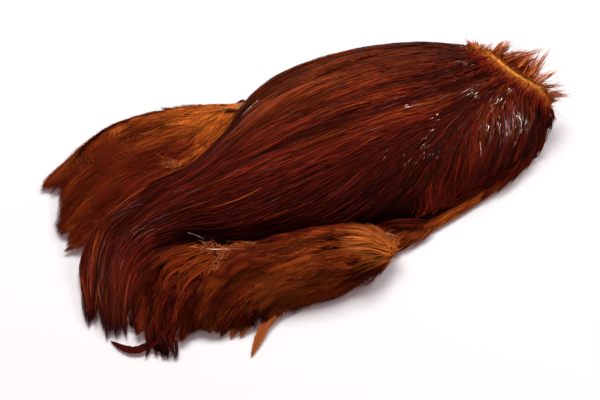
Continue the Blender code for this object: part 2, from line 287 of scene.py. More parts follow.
def model_blade(kind, pairs, fold, barb_on, contrast, seed):
    """A tapered shaft with a pair of extruded, pointed barbs for each of its pieces."""
    chance = np.random.default_rng(seed)
    blade = add_shaft(pairs, SHAFT_HALF)
    mesh = blade.data
    sides = []
    for edge in mesh.edges:
        ends = [mesh.vertices[index].co for index in edge.vertices]
        if ends[0].x * ends[1].x > 0 and abs(ends[0].y - ends[1].y) > FLAT_EDGE:
            sides.append((1 if ends[0].x > 0 else -1, min(ends[0].y, ends[1].y), edge.index))
    bpy.ops.object.mode_set(mode="EDIT")
    bpy.ops.mesh.select_mode(type="EDGE")
    for side, low, index in sides:
        bpy.ops.mesh.select_all(action="DESELECT")
        bpy.ops.object.mode_set(mode="OBJECT")
        mesh.edges[index].select = True
        bpy.ops.object.mode_set(mode="EDIT")
        half = np.interp(low, np.linspace(0, 1, len(OUTLINES[kind])), OUTLINES[kind])
        half *= chance.uniform(*BARB_LENGTHS)
        ahead = barb_on * chance.uniform(*BARB_SLANTS)
        droop = fold * half * chance.uniform(*BARB_DROOPS)
        out = (side * half, ahead, -droop)
        bpy.ops.mesh.extrude_edges_move(TRANSFORM_OT_translate={"value": out})
        bpy.ops.mesh.merge(type="COLLAPSE")
    bpy.ops.object.mode_set(mode="OBJECT")

    def shade_at(corners):
        barb = chance.uniform(1 - contrast, 1 + contrast, len(corners))
        return np.where(abs(corners[:, 0]) > 2 * SHAFT_HALF, barb, 1 - 0.5 * contrast)

    return blade_arrays(blade, shade_at, kind)


long_hackle = model_blade("hackle", pairs=18, fold=0.30, barb_on=0.20, contrast=0.35, seed=1)
short_hackle = model_blade("hackle", pairs=10, fold=0.35, barb_on=0.26, contrast=0.4, seed=2)
webby_blade = model_blade("webby", pairs=26, fold=0.14, barb_on=0.15, contrast=0.12, seed=3)
spike_blade = model_blade("spike", pairs=7, fold=0.40, barb_on=0.30, contrast=0.3, seed=4)
strand = blade_arrays(add_shaft(6, 1.0), lambda corners: np.ones(len(corners)), "strand")


VANE_OUTLINE = [0.12, 0.45, 0.72, 0.90, 1.0, 1.0, 0.95, 0.86, 0.70, 0.45, 0.08]
VANE_RAGGED = 0.22
VANE_SWEPT = 0.08
VANE_CUPPED = 0.18


def model_vane(columns, pieces, seed):
    """A broad vane in one piece: a shaped grid whose edge is ragged where the barbs end."""
    chance = np.random.default_rng(seed)
    nothing_selected()
    bpy.ops.mesh.primitive_grid_add(x_subdivisions=columns, y_subdivisions=pieces, size=1,
                                    location=(0, 0.5, 0))
    bpy.ops.object.transform_apply(location=True, rotation=False, scale=False)
    vane = bpy.context.object
    for corner in vane.data.vertices:
        out = 2 * corner.co.x
        half = np.interp(corner.co.y, np.linspace(0, 1, len(VANE_OUTLINE)), VANE_OUTLINE)
        ragged = 1 - VANE_RAGGED * chance.random() if abs(out) > 0.99 else 1.0
        corner.co = (out * half * ragged, corner.co.y + VANE_SWEPT * abs(out), -VANE_CUPPED * out ** 2)

    def shade_at(corners):
        return 1.12 - 0.3 * np.exp(-(corners[:, 0] / 0.12) ** 2)

    return blade_arrays(vane, shade_at, "broad vane")


broad_vane = model_vane(columns=8, pieces=40, seed=6)

# %% [markdown]
# ## Growing feathers
# Each feather starts at a root on the sheet and walks along the flow in short steps. It leans as the stream
# does there, gathers with its neighbours into pointed locks, rises from below them at the root, and rolls
# about its shaft. The blade is then bent along that walk. All feathers are worked out together as arrays,
# because a loop with one object for each would be far too slow and far too heavy.

# %% Grow feathers on a sheet
STATIONS = 13
TABLE_GAP = 0.2
EVEN_STEPS = (0.7548776662, 0.5698402910)
SPARE_TRIES = 1.15
STREAM_STEPS = 20
LOCK_SEEDS = {"place": 7, "length": 11, "lift": 9, "ridge": 5, "band": 17}
PART = np.linspace(0, 1, STATIONS)[None, :]


def straight_on(along, across):
    return np.zeros_like(along)


def even_spread(order):
    """Places in a unit square that stay evenly spread however many of them are taken."""
    return [(0.5 + order * step) % 1.0 for step in EVEN_STEPS]


def paces(sheet, along, across):
    """How many millimetres of the sheet one whole step along it and one across it cover."""
    way_on = np.linalg.norm(sheet.read(sheet.along_way, along, across), axis=-1)
    way_over = np.linalg.norm(sheet.read(sheet.across_way, along, across), axis=-1)
    return way_on, np.maximum(way_over, 1.0)


def spread_roots(sheet, count, thickness, seed):
    """Roots spread evenly over the sheet's real area, more of them where thickness is higher."""
    chance = np.random.default_rng(seed)
    even = np.linspace(0, 1, FINE)
    weight = sheet.area * thickness(*np.meshgrid(even, even, indexing="ij"))
    tries = int(count * SPARE_TRIES * weight.max() / weight.mean()) + 50
    along, across = even_spread(np.arange(1, tries + 1) + seed)
    keep = chance.random(tries) < sheet.read(weight[..., None], along, across)[:, 0] / weight.max()
    along, across = along[keep][:count], across[keep][:count]
    jitter = 0.5 / math.sqrt(count)
    return along + chance.normal(0, jitter, len(along)), across + chance.normal(0, jitter, len(along))


def roots_near(sheet, spots, chance):
    """Roots scattered round drawn places: each spot is x, y, how far they scatter and how many."""
    along, across = [], []
    ground = sheet.places[:, :, :2] + np.array(CENTRE)
    for spot_x, spot_y, scatter, count in spots:
        for _ in range(count):
            wanted = np.array([spot_x, spot_y]) + chance.normal(0, scatter, 2)
            nearest = np.argmin(((ground - wanted) ** 2).sum(axis=2))
            row, column = divmod(int(nearest), FINE)
            along.append(row / (FINE - 1))
            across.append(column / (FINE - 1))
    return np.array(along), np.array(across)


def slope_of(sheet, lean, along, across):
    """How fast a leaning stream goes across the sheet for each step along it."""
    way_on, way_over = paces(sheet, along, across)
    return np.tan(lean(along, across)) * way_on / way_over


def streams(sheet, lean):
    """For a fine grid of places, where at the head end the stream through each of them began."""
    even = np.linspace(0, 1, FINE)
    along, across = np.meshgrid(even, even, indexing="ij")
    step = along / STREAM_STEPS
    for _ in range(STREAM_STEPS):
        across = across - step * slope_of(sheet, lean, along, across)
        along = along - step
    return across[..., None]


def walk(sheet, along, across, length, turn_at):
    """The way of each feather's shaft over the sheet: along and across at every station."""
    step = length / (STATIONS - 1)
    way = []
    for station in range(STATIONS):
        way.append((along, across))
        way_on, way_over = paces(sheet, along, across)
        turn = turn_at(along, across, station / (STATIONS - 1))
        along = along + step * np.cos(turn) / way_on
        across = across + step * np.sin(turn) / way_over
    return np.moveaxis(np.array(way), 0, 2)


def gather(sheet, along, stream, lock_long, lock_wide):
    """How far each feather's stream is from the middle of its lock, and which lock that is."""
    count = int(sheet.long * sheet.wide / (lock_long * lock_wide)) + 1
    lock_along, lock_stream = even_spread(np.arange(1, count + 1) + LOCK_SEEDS["place"])
    lock_stream = lock_stream * 1.5 - 0.4
    apart_along = (along[:, None] - lock_along[None]) * sheet.long / lock_long
    apart_over = (stream[:, None] - lock_stream[None]) * sheet.wide / lock_wide
    nearest = np.argmin(apart_along ** 2 + apart_over ** 2, axis=1)
    return lock_stream[nearest] - stream, nearest


def random_field(seed, rows, columns):
    """A smooth random field about 0, with so many cells along and across."""
    grid = np.random.default_rng(seed).normal(0, 1, (rows + 2, columns + 2))

    def read(along, across):
        down = np.clip(along, 0, 1) * rows
        over = (across % 1.0) * columns
        row, column = down.astype(int), over.astype(int)
        down, over = down - row, over - column
        down, over = down ** 2 * (3 - 2 * down), over ** 2 * (3 - 2 * over)
        upper = grid[row, column] * (1 - over) + grid[row, column + 1] * over
        lower = grid[row + 1, column] * (1 - over) + grid[row + 1, column + 1] * over
        return upper * (1 - down) + lower * down

    return read


def bend_blades(blade, places, normals, marks, width, roll, rounding):
    """A copy of the blade bent along every walk, soft normals that round it over, and its marks."""
    corners, triangles, _ = blade
    heading = unit(np.gradient(places, axis=1))
    side = unit(np.cross(heading, normals))
    up = np.cross(side, heading)
    tilt = roll[:, None, None]
    side, up = side * np.cos(tilt) - up * np.sin(tilt), up * np.cos(tilt) + side * np.sin(tilt)
    at = np.clip(corners[:, 1], 0, 1) * (STATIONS - 1)
    low = np.minimum(at.astype(int), STATIONS - 2)
    part = (at - low)[None, :, None]

    def between(field):
        return field[:, low] * (1 - part) + field[:, low + 1] * part

    spread = width[:, None, None]
    out = corners[None, :, :1]
    shaped = between(places) + between(side) * out * spread + between(up) * corners[None, :, 2:] * spread
    shaped[:, :, 2] = np.maximum(shaped[:, :, 2], TABLE_GAP)
    soft = unit(between(up) + between(side) * out * rounding)
    faces = triangles[None] + (np.arange(len(places)) * len(corners))[:, None, None]
    return shaped.reshape(-1, 3), faces.reshape(-1, 3), soft.reshape(-1, 3), between(marks)


def joined_mesh(name, corners, faces, soft, vane, colours, material):
    """One object from arrays, in metres, with its vane UV map, tint attribute and soft normals."""
    mesh = bpy.data.meshes.new(name)
    mesh.vertices.add(len(corners))
    mesh.vertices.foreach_set("co", (corners * MM).astype(np.float32).ravel())
    mesh.loops.add(faces.size)
    mesh.loops.foreach_set("vertex_index", faces.astype(np.int32).ravel())
    mesh.polygons.add(len(faces))
    mesh.polygons.foreach_set("loop_start", np.arange(0, faces.size, 3, dtype=np.int32))
    mesh.update(calc_edges=True)
    mesh.polygons.foreach_set("use_smooth", np.ones(len(faces), dtype=bool))
    uv_map = mesh.uv_layers.new(name="vane")
    uv_map.data.foreach_set("uv", vane[faces.ravel()].astype(np.float32).ravel())
    tint = mesh.color_attributes.new("tint", "FLOAT_COLOR", "POINT")
    tint.data.foreach_set("color", colours.astype(np.float32).ravel())
    mesh.normals_split_custom_set_from_vertices(soft)
    mesh.materials.append(material)
    piece = bpy.data.objects.new(name, mesh)
    bpy.context.scene.collection.objects.link(piece)
    print(f"{name}: {len(faces)} triangles")
    return piece


print("stations along each shaft:", STATIONS)

# %% [markdown]
# ## Feather finish
# What the eye reads as feather is mostly fine streaks: hundreds of barbs, each a little lighter or darker
# than the next, all running nearly along the shaft. A node group stretches noise along the blade's own UV
# map, so the streaks follow every bend, and gives out a colour and a height. Each material adds its own
# gloss: hackles are almost lacquered, side feathers are dull and soft.

# %% Make the streak group
STREAK_SOCKETS = [
    ("Across count", "INPUT", "NodeSocketFloat"), ("Depth", "INPUT", "NodeSocketFloat"),
    ("Colour", "OUTPUT", "NodeSocketColor"), ("Height", "OUTPUT", "NodeSocketFloat"),
]
STREAKS_ALONG = 2.2
BARB_SLANT = 1.4
PHASE_ACROSS = 57.0
PHASE_ALONG = 31.0


def streak_group():
    """Colour and height of the barbs, from the vane UV map and the tint with its phase in alpha."""
    group = bpy.data.node_groups.new("barb streaks", "ShaderNodeTree")
    for name, direction, kind in STREAK_SOCKETS:
        group.interface.new_socket(name=name, in_out=direction, socket_type=kind)
    nodes, links = group.nodes, group.links

    def calculate(operation, *values):
        node = nodes.new("ShaderNodeMath")
        node.operation = operation
        for socket, value in zip(node.inputs, values):
            if isinstance(value, float):
                socket.default_value = value
            else:
                links.new(value, socket)
        return node.outputs[0]

    given = nodes.new("NodeGroupInput")
    made = nodes.new("NodeGroupOutput")
    vane = nodes.new("ShaderNodeUVMap")
    vane.uv_map = "vane"
    tint = nodes.new("ShaderNodeAttribute")
    tint.attribute_name = "tint"
    split = nodes.new("ShaderNodeSeparateXYZ")
    links.new(vane.outputs["UV"], split.inputs[0])
    phase, depth = tint.outputs["Alpha"], given.outputs["Depth"]
    across = calculate("MULTIPLY", split.outputs["X"], given.outputs["Across count"])
    across = calculate("ADD", across, calculate("MULTIPLY", phase, PHASE_ACROSS))
    from_shaft = calculate("ABSOLUTE", calculate("SUBTRACT", split.outputs["X"], 0.5))
    along = calculate("MULTIPLY", split.outputs["Y"], STREAKS_ALONG)
    along = calculate("SUBTRACT", along, calculate("MULTIPLY", from_shaft, BARB_SLANT))
    along = calculate("ADD", along, calculate("MULTIPLY", phase, PHASE_ALONG))
    where = nodes.new("ShaderNodeCombineXYZ")
    links.new(across, where.inputs[0])
    links.new(along, where.inputs[1])
    noise = nodes.new("ShaderNodeTexNoise")
    noise.inputs["Scale"].default_value = 1.0
    noise.inputs["Detail"].default_value = 3.0
    noise.inputs["Roughness"].default_value = 0.65
    links.new(where.outputs[0], noise.inputs["Vector"])
    wide = nodes.new("ShaderNodeMapRange")
    wide.inputs["From Min"].default_value = 0.3
    wide.inputs["From Max"].default_value = 0.7
    links.new(noise.outputs["Fac"], wide.inputs["Value"])
    streak = wide.outputs["Result"]
    swing = calculate("MULTIPLY", streak, calculate("MULTIPLY", depth, 2.0))
    strength = calculate("ADD", calculate("SUBTRACT", 1.0, depth), swing)
    scaled = nodes.new("ShaderNodeVectorMath")
    scaled.operation = "SCALE"
    links.new(tint.outputs["Color"], scaled.inputs[0])
    links.new(strength, scaled.inputs["Scale"])
    links.new(scaled.outputs[0], made.inputs["Colour"])
    links.new(streak, made.inputs["Height"])
    return group


barb_streaks = streak_group()
print("group made:", barb_streaks.name)

# %% [markdown]
# ## Three finishes
# The streaks are the same in every feather material. What differs is how fine and how strong they are, how
# glossy the vane is, and how deep its relief is in millimetres.

# %% Make a feather material
def new_material(name):
    """An empty material with its nodes, its links and its shader."""
    material = bpy.data.materials.new(name)
    material.use_nodes = True
    tree = material.node_tree
    return material, tree.nodes, tree.links, tree.nodes["Principled BSDF"]


def add_relief(nodes, links, shader, height, depth):
    """Bump so many millimetres deep from a height of 0 to 1."""
    bump = nodes.new("ShaderNodeBump")
    bump.inputs["Strength"].default_value = 1.0
    bump.inputs["Distance"].default_value = depth * MM
    links.new(height, bump.inputs["Height"])
    links.new(bump.outputs["Normal"], shader.inputs["Normal"])


def feather_material(name, across_count, contrast, roughness, specular, shine, relief):
    material, nodes, links, shader = new_material(name)
    streaks = nodes.new("ShaderNodeGroup")
    streaks.node_tree = barb_streaks
    streaks.inputs["Across count"].default_value = across_count
    streaks.inputs["Depth"].default_value = contrast
    links.new(streaks.outputs["Colour"], shader.inputs["Base Color"])
    add_relief(nodes, links, shader, streaks.outputs["Height"], relief)
    shader.inputs["Roughness"].default_value = roughness
    shader.inputs["Specular IOR Level"].default_value = specular
    shader.inputs["Specular Tint"].default_value = (*shine, 1.0)
    return material


glossy_hackle = feather_material("glossy hackle", across_count=12, contrast=0.40, roughness=0.34,
                                 specular=0.035, shine=(1.0, 0.50, 0.48), relief=0.12)
soft_vane = feather_material("soft side feather", across_count=34, contrast=0.22, roughness=0.75,
                             specular=0.015, shine=(1.0, 0.75, 0.6), relief=0.06)
shiny_quill = feather_material("shiny quill", across_count=3, contrast=0.15, roughness=0.25,
                               specular=0.5, shine=(1.0, 1.0, 1.0), relief=0.02)
print("materials:", glossy_hackle.name, soft_vane.name, shiny_quill.name)

# %% [markdown]
# ## Colours
# The bird is a dark red-brown one. Its hackles go from an orange-brown root to a nearly black tip, the
# side feathers from bright orange at the root to warm brown, and stray patches are lighter. The values are
# linear colours. A coat picks each feather's colour from a short palette of colours and shares.

# %% Name the colours
BLACKISH = np.array((0.022, 0.0016, 0.0011))
DEEP = np.array((0.048, 0.0038, 0.0018))
MAHOGANY = np.array((0.090, 0.0075, 0.0026))
CRIMSON = np.array((0.150, 0.0110, 0.0048))
RUST = np.array((0.140, 0.0170, 0.0034))
WARM = np.array((0.240, 0.0380, 0.0060))
ORANGE = np.array((0.560, 0.1300, 0.0170))
STRAW = np.array((0.750, 0.5000, 0.3400))
PARTING_ORANGE = np.array((0.950, 0.3400, 0.0650))
STRAY_BROWN = np.array((0.250, 0.0580, 0.0150))
TAN = np.array((0.330, 0.1300, 0.0550))
# Painted sheen and glints: lilac stands for the lamp's reflection on the dark hackles.
PAINTED_SHEEN_LILAC = np.array((0.300, 0.1350, 0.1300))
# Pale quills, and in the glints a painted highlight of the same white.
QUILL_AND_GLINT_WHITE = np.array((0.900, 0.8200, 0.7600))
ROOT_REACH = 0.4
VANE_HALF = 0.4


def patches(x, y, spots):
    """How much each place belongs to any of the named round patches, 0 to 1."""
    total = np.zeros_like(x)
    for spot_x, spot_y, wide, strength in spots:
        total = total + strength * np.exp(-((x - spot_x) ** 2 + (y - spot_y) ** 2) / wide ** 2)
    return np.clip(total, 0, 1)


def read_palette(palette, rank):
    """Blend through a palette ordered from dark to light; each colour has a share of the ranks 0 to 1."""
    shares = np.array([share for _, share in palette], dtype=float)
    upto = np.cumsum(shares) / shares.sum()
    middle = upto - 0.5 * shares / shares.sum()
    colours = np.array([colour for colour, _ in palette])
    return np.column_stack([np.interp(rank, middle, colours[:, channel]) for channel in range(3)])


def colour_blades(blade, root, body, fade, glow, chance):
    """A colour for every corner: root to body, faded along the blade, with a phase in alpha."""
    along = np.clip(blade[0][:, 1], 0, 1)
    early = np.clip(along / ROOT_REACH, 0, 1)[None, :, None]
    shade = root[:, None] * (1 - early) + body[:, None] * early
    shade = shade * (np.interp(along, *zip(*fade)) * blade[2])[None, :, None] * glow
    phase = np.broadcast_to(chance.random(len(root))[:, None, None], shade.shape[:2] + (1,))
    return np.concatenate([shade, phase], axis=2).reshape(-1, 4)


def blade_marks(blade, count):
    """The blade's own across and along places, repeated for every copy."""
    corners = blade[0]
    vane = np.column_stack([0.5 + VANE_HALF * corners[:, 0], corners[:, 1]])
    return np.tile(vane, (count, 1))


print("colours from", BLACKISH, "to", STRAW)

# %% [markdown]
# ## One coat at a time
# Every coat of feathers is grown in the same way: roots are spread, each feather gets a length, a width and a
# lean, it is bent along its walk, and it is coloured. Only the rules differ, so each coat is a small table of
# rules: numbers, or curves read at the root's place along the flow. The vanes and the strands of one sheet
# share the lock field, so they rise together. Their colour is painted lighter where a lock rises and darker
# where it sinks: a painted shade that makes the partings between locks dark.

# %% Grow one coat
PLAIN_RULES = {
    "lean": straight_on, "loose": 0.08, "curl": 0.10, "end": 1.0, "ragged": 0.85, "shortest": 6,
    "rise": (-0.2, 0.8), "deep": 2.4, "root part": 0.35, "lowest": 1.0, "locks": 0.4, "lock shade": 0.3,
    "gather": 0.5, "lock size": (45, 5), "lock lift": 0.5, "roll": 0.15, "rounding": 0.5, "vary": 0.25,
    "fade": [(0, 1.0), (1, 1.0)], "light spots": [], "dark spots": [], "light colour": WARM, "tip up": 0.0,
    "within": (-0.03, 1.03), "lock length": 0.2, "clear": 0.06, "bands": (3, 14), "band noise": 0.6,
    "frayed": 0.0,
}
LENGTHS = (0.7, 1.12)
WIDTHS = (0.7, 1.25)
THIN_EDGE = 0.06


def at(place, curve):
    """A value read from a curve of (place, value) points, or the same value everywhere."""
    if isinstance(curve, (int, float)):
        return np.full(np.shape(place), float(curve))
    return np.interp(place, [point[0] for point in curve], [point[1] for point in curve])


def pick_roots(sheet, rules, count, seed, chance):
    """Where the feathers leave the skin: round the coat's spots, or spread over all of the sheet."""
    if "spots" in rules:
        return roots_near(sheet, rules["spots"], chance)
    along, across = spread_roots(sheet, count, rules["thickness"], seed)
    clear = along < at(across, rules["end"]) - rules["clear"]
    return along[clear], across[clear]


def shaft_ways(sheet, rules, along, across, stream, chance):
    """The way of every shaft over the sheet, and the lock that each belongs to."""
    number = len(along)
    length = at(along, rules["length"]) * chance.uniform(*LENGTHS, number)
    pace = paces(sheet, along, across)[0]
    left = (at(across, rules["end"]) - along) * pace * chance.uniform(rules["ragged"], 1.0, number)
    length = np.minimum(length, np.maximum(left, rules["shortest"]))
    own = chance.normal(0, rules["loose"], number)
    curl = chance.normal(0, rules["curl"], number)

    def turn_at(u, v, part):
        return rules["lean"](u, v) + own * (1 - 0.6 * part) + curl * (part - 0.3)

    way = walk(sheet, along, across, length, turn_at)
    pull, lock = gather(sheet, along, stream, *rules["lock size"])
    way[1] += rules["gather"] * pull[:, None] * PART ** 1.5
    least, most = rules["within"]
    way[1] = np.clip(way[1], least, at(way[0], most) - rules["frayed"] * abs(own)[:, None])
    shorter = np.random.default_rng(LOCK_SEEDS["length"]).random(lock.max() + 1)[lock]
    if rules["lock length"]:
        uneven = 1 - rules["lock length"] * shorter
        way[0] = way[0][:, :1] + (way[0] - way[0][:, :1]) * uneven[:, None]
    return way, lock


def lift_of(rules, across, lock, ridge, chance):
    """How far every station stands off the sheet: below its neighbours at the root, and up by its lock."""
    number = len(across)
    lock_lift = np.random.default_rng(LOCK_SEEDS["lift"]).normal(0, rules["lock lift"], lock.max() + 1)[lock]
    high = chance.uniform(*rules["rise"], number) + lock_lift
    edge = np.clip(np.minimum(across, 1 - across) / THIN_EDGE, 0.25, 1)
    risen = np.clip(PART / rules["root part"], 0, 1)
    lift = (high * edge)[:, None] * risen - rules["deep"] * (1 - risen) ** 2 + rules["locks"] * ridge
    return lift + rules["tip up"] * chance.uniform(-0.3, 1.0, number)[:, None] * PART ** 4


def coat_colours(rules, root, along, stream, chance):
    """Each feather's root colour, body colour and glow, by its place, its band and the coat's palette."""
    number = len(along)
    x, y = root[:, 0] + CENTRE[0], root[:, 1] + CENTRE[1]
    light = patches(x, y, rules["light spots"]) * chance.uniform(0.2, 1.0, number)
    # The dark spots darken the feathers: partly their own darker tone, partly painted shade in creases and on
    # slopes turned away from the lamp.
    dark = patches(x, y, rules["dark spots"])
    band = random_field(LOCK_SEEDS["band"], *rules["bands"])(along, stream)
    tone = band + chance.normal(0, rules["band noise"], number)
    body = read_palette(rules["palette"], np.argsort(np.argsort(tone)) / number)
    body = body + (rules["light colour"] - body) * light[:, None]
    base = body + (rules["root colour"] - body) * chance.uniform(0.4, 1.0, (number, 1))
    glow = np.exp(chance.normal(0, rules["vary"], number)) * (1 - 0.75 * dark)
    return base, body, glow


def grow_coat(name, sheet, blade, material, count, seed, own_rules):
    """One coat on a sheet: about so many copies of the blade, by the plain rules and its own."""
    rules = {**PLAIN_RULES, **own_rules}
    chance = np.random.default_rng(seed)
    along, across = pick_roots(sheet, rules, count, seed, chance)
    number = len(along)
    stream_grid = streams(sheet, rules["lean"])
    stream = sheet.read(stream_grid, along, across)[:, 0]
    way, lock = shaft_ways(sheet, rules, along, across, stream, chance)
    places = sheet.place(way[0], way[1])
    normals = unit(sheet.read(sheet.normals, way[0], way[1]))
    lock_long, lock_wide = rules["lock size"]
    field = random_field(LOCK_SEEDS["ridge"], int(sheet.long / lock_long) + 1,
                         int(sheet.wide / lock_wide) + 1)
    ridge = field(way[0], sheet.read(stream_grid, way[0], way[1])[..., 0])
    places = places + normals * lift_of(rules, across, lock, ridge, chance)[..., None]
    places[:, :, 2] = np.maximum(places[:, :, 2], rules["lowest"])
    width = at(along, rules["width"]) * chance.uniform(*WIDTHS, number)
    roll = chance.normal(0, rules["roll"], number)
    corners, faces, soft, shade = bend_blades(blade, places, normals, ridge[..., None], width, roll,
                                              rules["rounding"])
    base, body, glow = coat_colours(rules, sheet.place(along, across), along, stream, chance)
    # Painted light and shade: each feather is made lighter where its lock rises and darker where it sinks.
    glow = glow[:, None, None] * np.clip(1 + rules["lock shade"] * shade, 0.25, 1.9)
    colours = colour_blades(blade, base, body, rules["fade"], glow, chance)
    return joined_mesh(name, corners, faces, soft, blade_marks(blade, number), colours, material)


print("coat rules are read by grow_coat:", ", ".join(PLAIN_RULES))

# %% [markdown]
# ## The neck hackles
# The mantle is the part everyone looks at. Its hackles are short at the parting and as long as a palm is wide
# at the shoulders, and over the dome they lean towards the near edge. They grow in three strips of one sheet.

# %% Grow the long hackles
LIGHT_HACKLES = [(85, 50, 26, 0.9), (50, 52, 26, 0.8), (112, 28, 16, 0.5), (30, 20, 14, 0.12),
                 (70, -56, 26, 0.12)]
# Darker patches of the mantle: partly the hackles' own darker tone, partly painted shade in the creases along
# both flaps and on the near slope, which faces away from the lamp.
DARK_AND_SHADED_HACKLES = [(-10, -30, 18, 0.35), (-44, -12, 16, 0.80), (30, -46, 14, 0.1), (-118, -2, 18, 0.85),
                (-60, 18, 18, 0.45), (-100, 15, 18, 0.62), (20, 10, 24, 0.25), (-30, 42, 20, 0.35),
                (112, -14, 12, 0.3), (5, 48, 18, 0.3), (-15, 34, 16, 0.1), (102, -37, 11, 0.35),
                (-13, 14, 18, 0.32), (-86, 28, 14, 0.3), (-52, 40, 15, 0.4)]
HACKLE_PALETTE = [(BLACKISH, 0.19), (DEEP, 0.31), (MAHOGANY, 0.33), (CRIMSON, 0.13), (WARM, 0.04)]
WINE = CRIMSON * 1.8
NEAR_HACKLE_PALETTE = [(BLACKISH, 0.12), (DEEP, 0.28), (MAHOGANY, 0.36), (CRIMSON, 0.20), (WARM, 0.04)]
HACKLE_FADE = [(0, 1.2), (0.4, 1.05), (0.75, 0.95), (1, 0.7)]


def hackle_lean(along, across):
    """On the near side of the dome the hackles lean down towards the edge, most of all close to the head."""
    side = np.interp(across, [0.60, 0.80, 0.92, 1.0], [0.0, 0.9, 1.0, 0.6])
    return side * np.interp(along, [0, 0.08, 0.3, 0.5, 0.65], [0.30, 0.60, 0.50, 0.22, 0.0])


HACKLE_RULES = {
    "thickness": lambda u, v: (u > 0.05) * (u < 0.94) * (1.3 - 0.6 * u),
    "length": [(0, 28), (0.2, 54), (0.4, 76), (0.7, 86), (1, 80)],
    "width": [(0, 1.1), (0.4, 1.7), (0.8, 1.7), (1, 1.3)], "ragged": 0.72, "shortest": 10,
    "lean": hackle_lean, "loose": 0.05, "curl": 0.10, "rise": (-0.5, 0.6), "deep": 2.6, "roll": 0.25,
    "vary": 0.28, "light spots": LIGHT_HACKLES, "dark spots": DARK_AND_SHADED_HACKLES, "palette": HACKLE_PALETTE,
    "root colour": MAHOGANY, "fade": HACKLE_FADE, "lock size": (40, 4.5), "lock lift": 0.35,
    "end": [(0, 1.0), (0.8, 0.998), (0.9, 0.96), (1.0, 0.92)], "lock length": 0.3, "bands": (3, 24),
}


def only(first, last, thickness):
    """The same thickness, but nothing grows outside one strip across the sheet."""
    return lambda u, v: (v >= first) * (v < last) * thickness(u, v)


HACKLE_STRIPS = [("far", 0.0, 0.40), ("middle", 0.40, 0.66), ("near", 0.66, 1.01)]
HACKLES_PER_STRIP = 1070
FIRST_STRIP_SEED = 101
NEAR_STRIP_RULES = {
    "palette": NEAR_HACKLE_PALETTE, "light spots": [(62, -46, 26, 0.6)], "light colour": WINE,
}
hackles = []
for index, (strip, first, last) in enumerate(HACKLE_STRIPS):
    rules = {**HACKLE_RULES, "thickness": only(first, last, HACKLE_RULES["thickness"])}
    if strip == "near":
        rules.update(NEAR_STRIP_RULES)
    hackles.append(grow_coat(f"neck_hackles_{strip}", hackle_sheet, long_hackle, glossy_hackle,
                             HACKLES_PER_STRIP, FIRST_STRIP_SEED + index, rules))

# %% [markdown]
# ## Strands
# Barbs work loose at the edge of a vane and lie over it as single lines. These thousands of strands follow
# the flow of the vanes, a little above them and with more freedom.

# %% Lay the strands over them
STRAND_RULES = {
    **HACKLE_RULES, "length": [(0, 12), (0.15, 34), (0.4, 56), (1, 58)],
    "width": [(0, 0.20), (0.4, 0.30), (1, 0.32)],
    "thickness": lambda u, v: (u > 0.02) * (u < 0.93) * (1.4 - 0.6 * u), "rise": (0.1, 1.0),
    "deep": 1.2, "root part": 0.2, "loose": 0.08, "curl": 0.16, "vary": 0.30, "roll": 0.4, "tip up": 0.5,
    "palette": [(BLACKISH, 0.18), (DEEP, 0.27), (MAHOGANY, 0.32), (CRIMSON, 0.17), (WARM, 0.06)],
    "band noise": 0.9,
}
hackle_strands = grow_coat("neck_hackle_strands", hackle_sheet, strand, glossy_hackle, 9000, 121,
                           STRAND_RULES)

# %% [markdown]
# ## The crown
# Close behind the parting the hackles are short, dark and a little raised. They cover the roots of the long
# ones.

# %% Grow the short hackles of the crown
CROWN_RULES = {
    **HACKLE_RULES, "thickness": lambda u, v: (u < 0.22) * (1.4 - 5 * u),
    "length": [(0, 14), (0.1, 22), (0.2, 34)], "width": [(0, 0.7), (0.2, 1.1)], "loose": 0.12, "curl": 0.16,
    "rise": (-0.2, 1.0), "deep": 2.0, "roll": 0.3, "root colour": WARM, "tip up": 0.8,
    "palette": [(BLACKISH, 0.24), (DEEP, 0.32), (MAHOGANY, 0.30), (RUST, 0.14)],
}
crown_hackles = grow_coat("crown_hackles", hackle_sheet, short_hackle, glossy_hackle, 1300, 111, CROWN_RULES)

# %% [markdown]
# ## The rim
# On the near side the hackles turn down over the edge of the neck. Their sheet joins the mantle's last flow
# lines to those of the edge, and it ends raggedly.

# %% Grow the rim that hangs over the near edge
rim_sheet = Sheet([HACKLE_LINES[-3][:5], HACKLE_LINES[-2][:6], EDGE_LINES[1], EDGE_LINES[2]])


def rim_lean(along, across):
    return np.interp(along, [0, 0.15, 0.5, 1.0], [0.60, 0.52, 0.40, 0.24])


RIM_ALONG = [0, 0.15, 0.45, 0.60, 0.70]
RIM_REACH = [0.86, 0.86, 0.74, 0.50, 0.0]
RIM_FROM = 0.22
RIM_EDGE = [(0, 0.97), (0.28, 0.95), (0.40, 0.86), (0.55, 0.80), (0.8, 0.76), (1, 0.72)]


def rim_thickness(along, across):
    reached = (across > RIM_FROM) * (across < np.interp(along, RIM_ALONG, RIM_REACH))
    return reached * (1.6 - along)


RIM_RULES = {
    **HACKLE_RULES, "thickness": rim_thickness, "lean": rim_lean,
    "length": [(0, 28), (0.2, 36), (1, 40)], "width": [(0, 0.8), (1, 1.2)],
    "rise": (-0.2, 0.6), "deep": 1.6, "root part": 0.3,
    "palette": [(BLACKISH, 0.10), (DEEP, 0.30), (MAHOGANY, 0.38), (CRIMSON, 0.22)], "root colour": MAHOGANY,
    "light spots": [(62, -50, 28, 0.6)], "light colour": WINE, "dark spots": [], "gather": 0.6,
    "lock size": (30, 5), "tip up": 0.6,
    "within": (-0.35, RIM_EDGE), "frayed": 1.2, "end": 1.3, "ragged": 0.7, "clear": 0.2, "bands": (4, 10),
}
rim_hackles = grow_coat("rim_hackles", rim_sheet, short_hackle, glossy_hackle, 1700, 131, RIM_RULES)

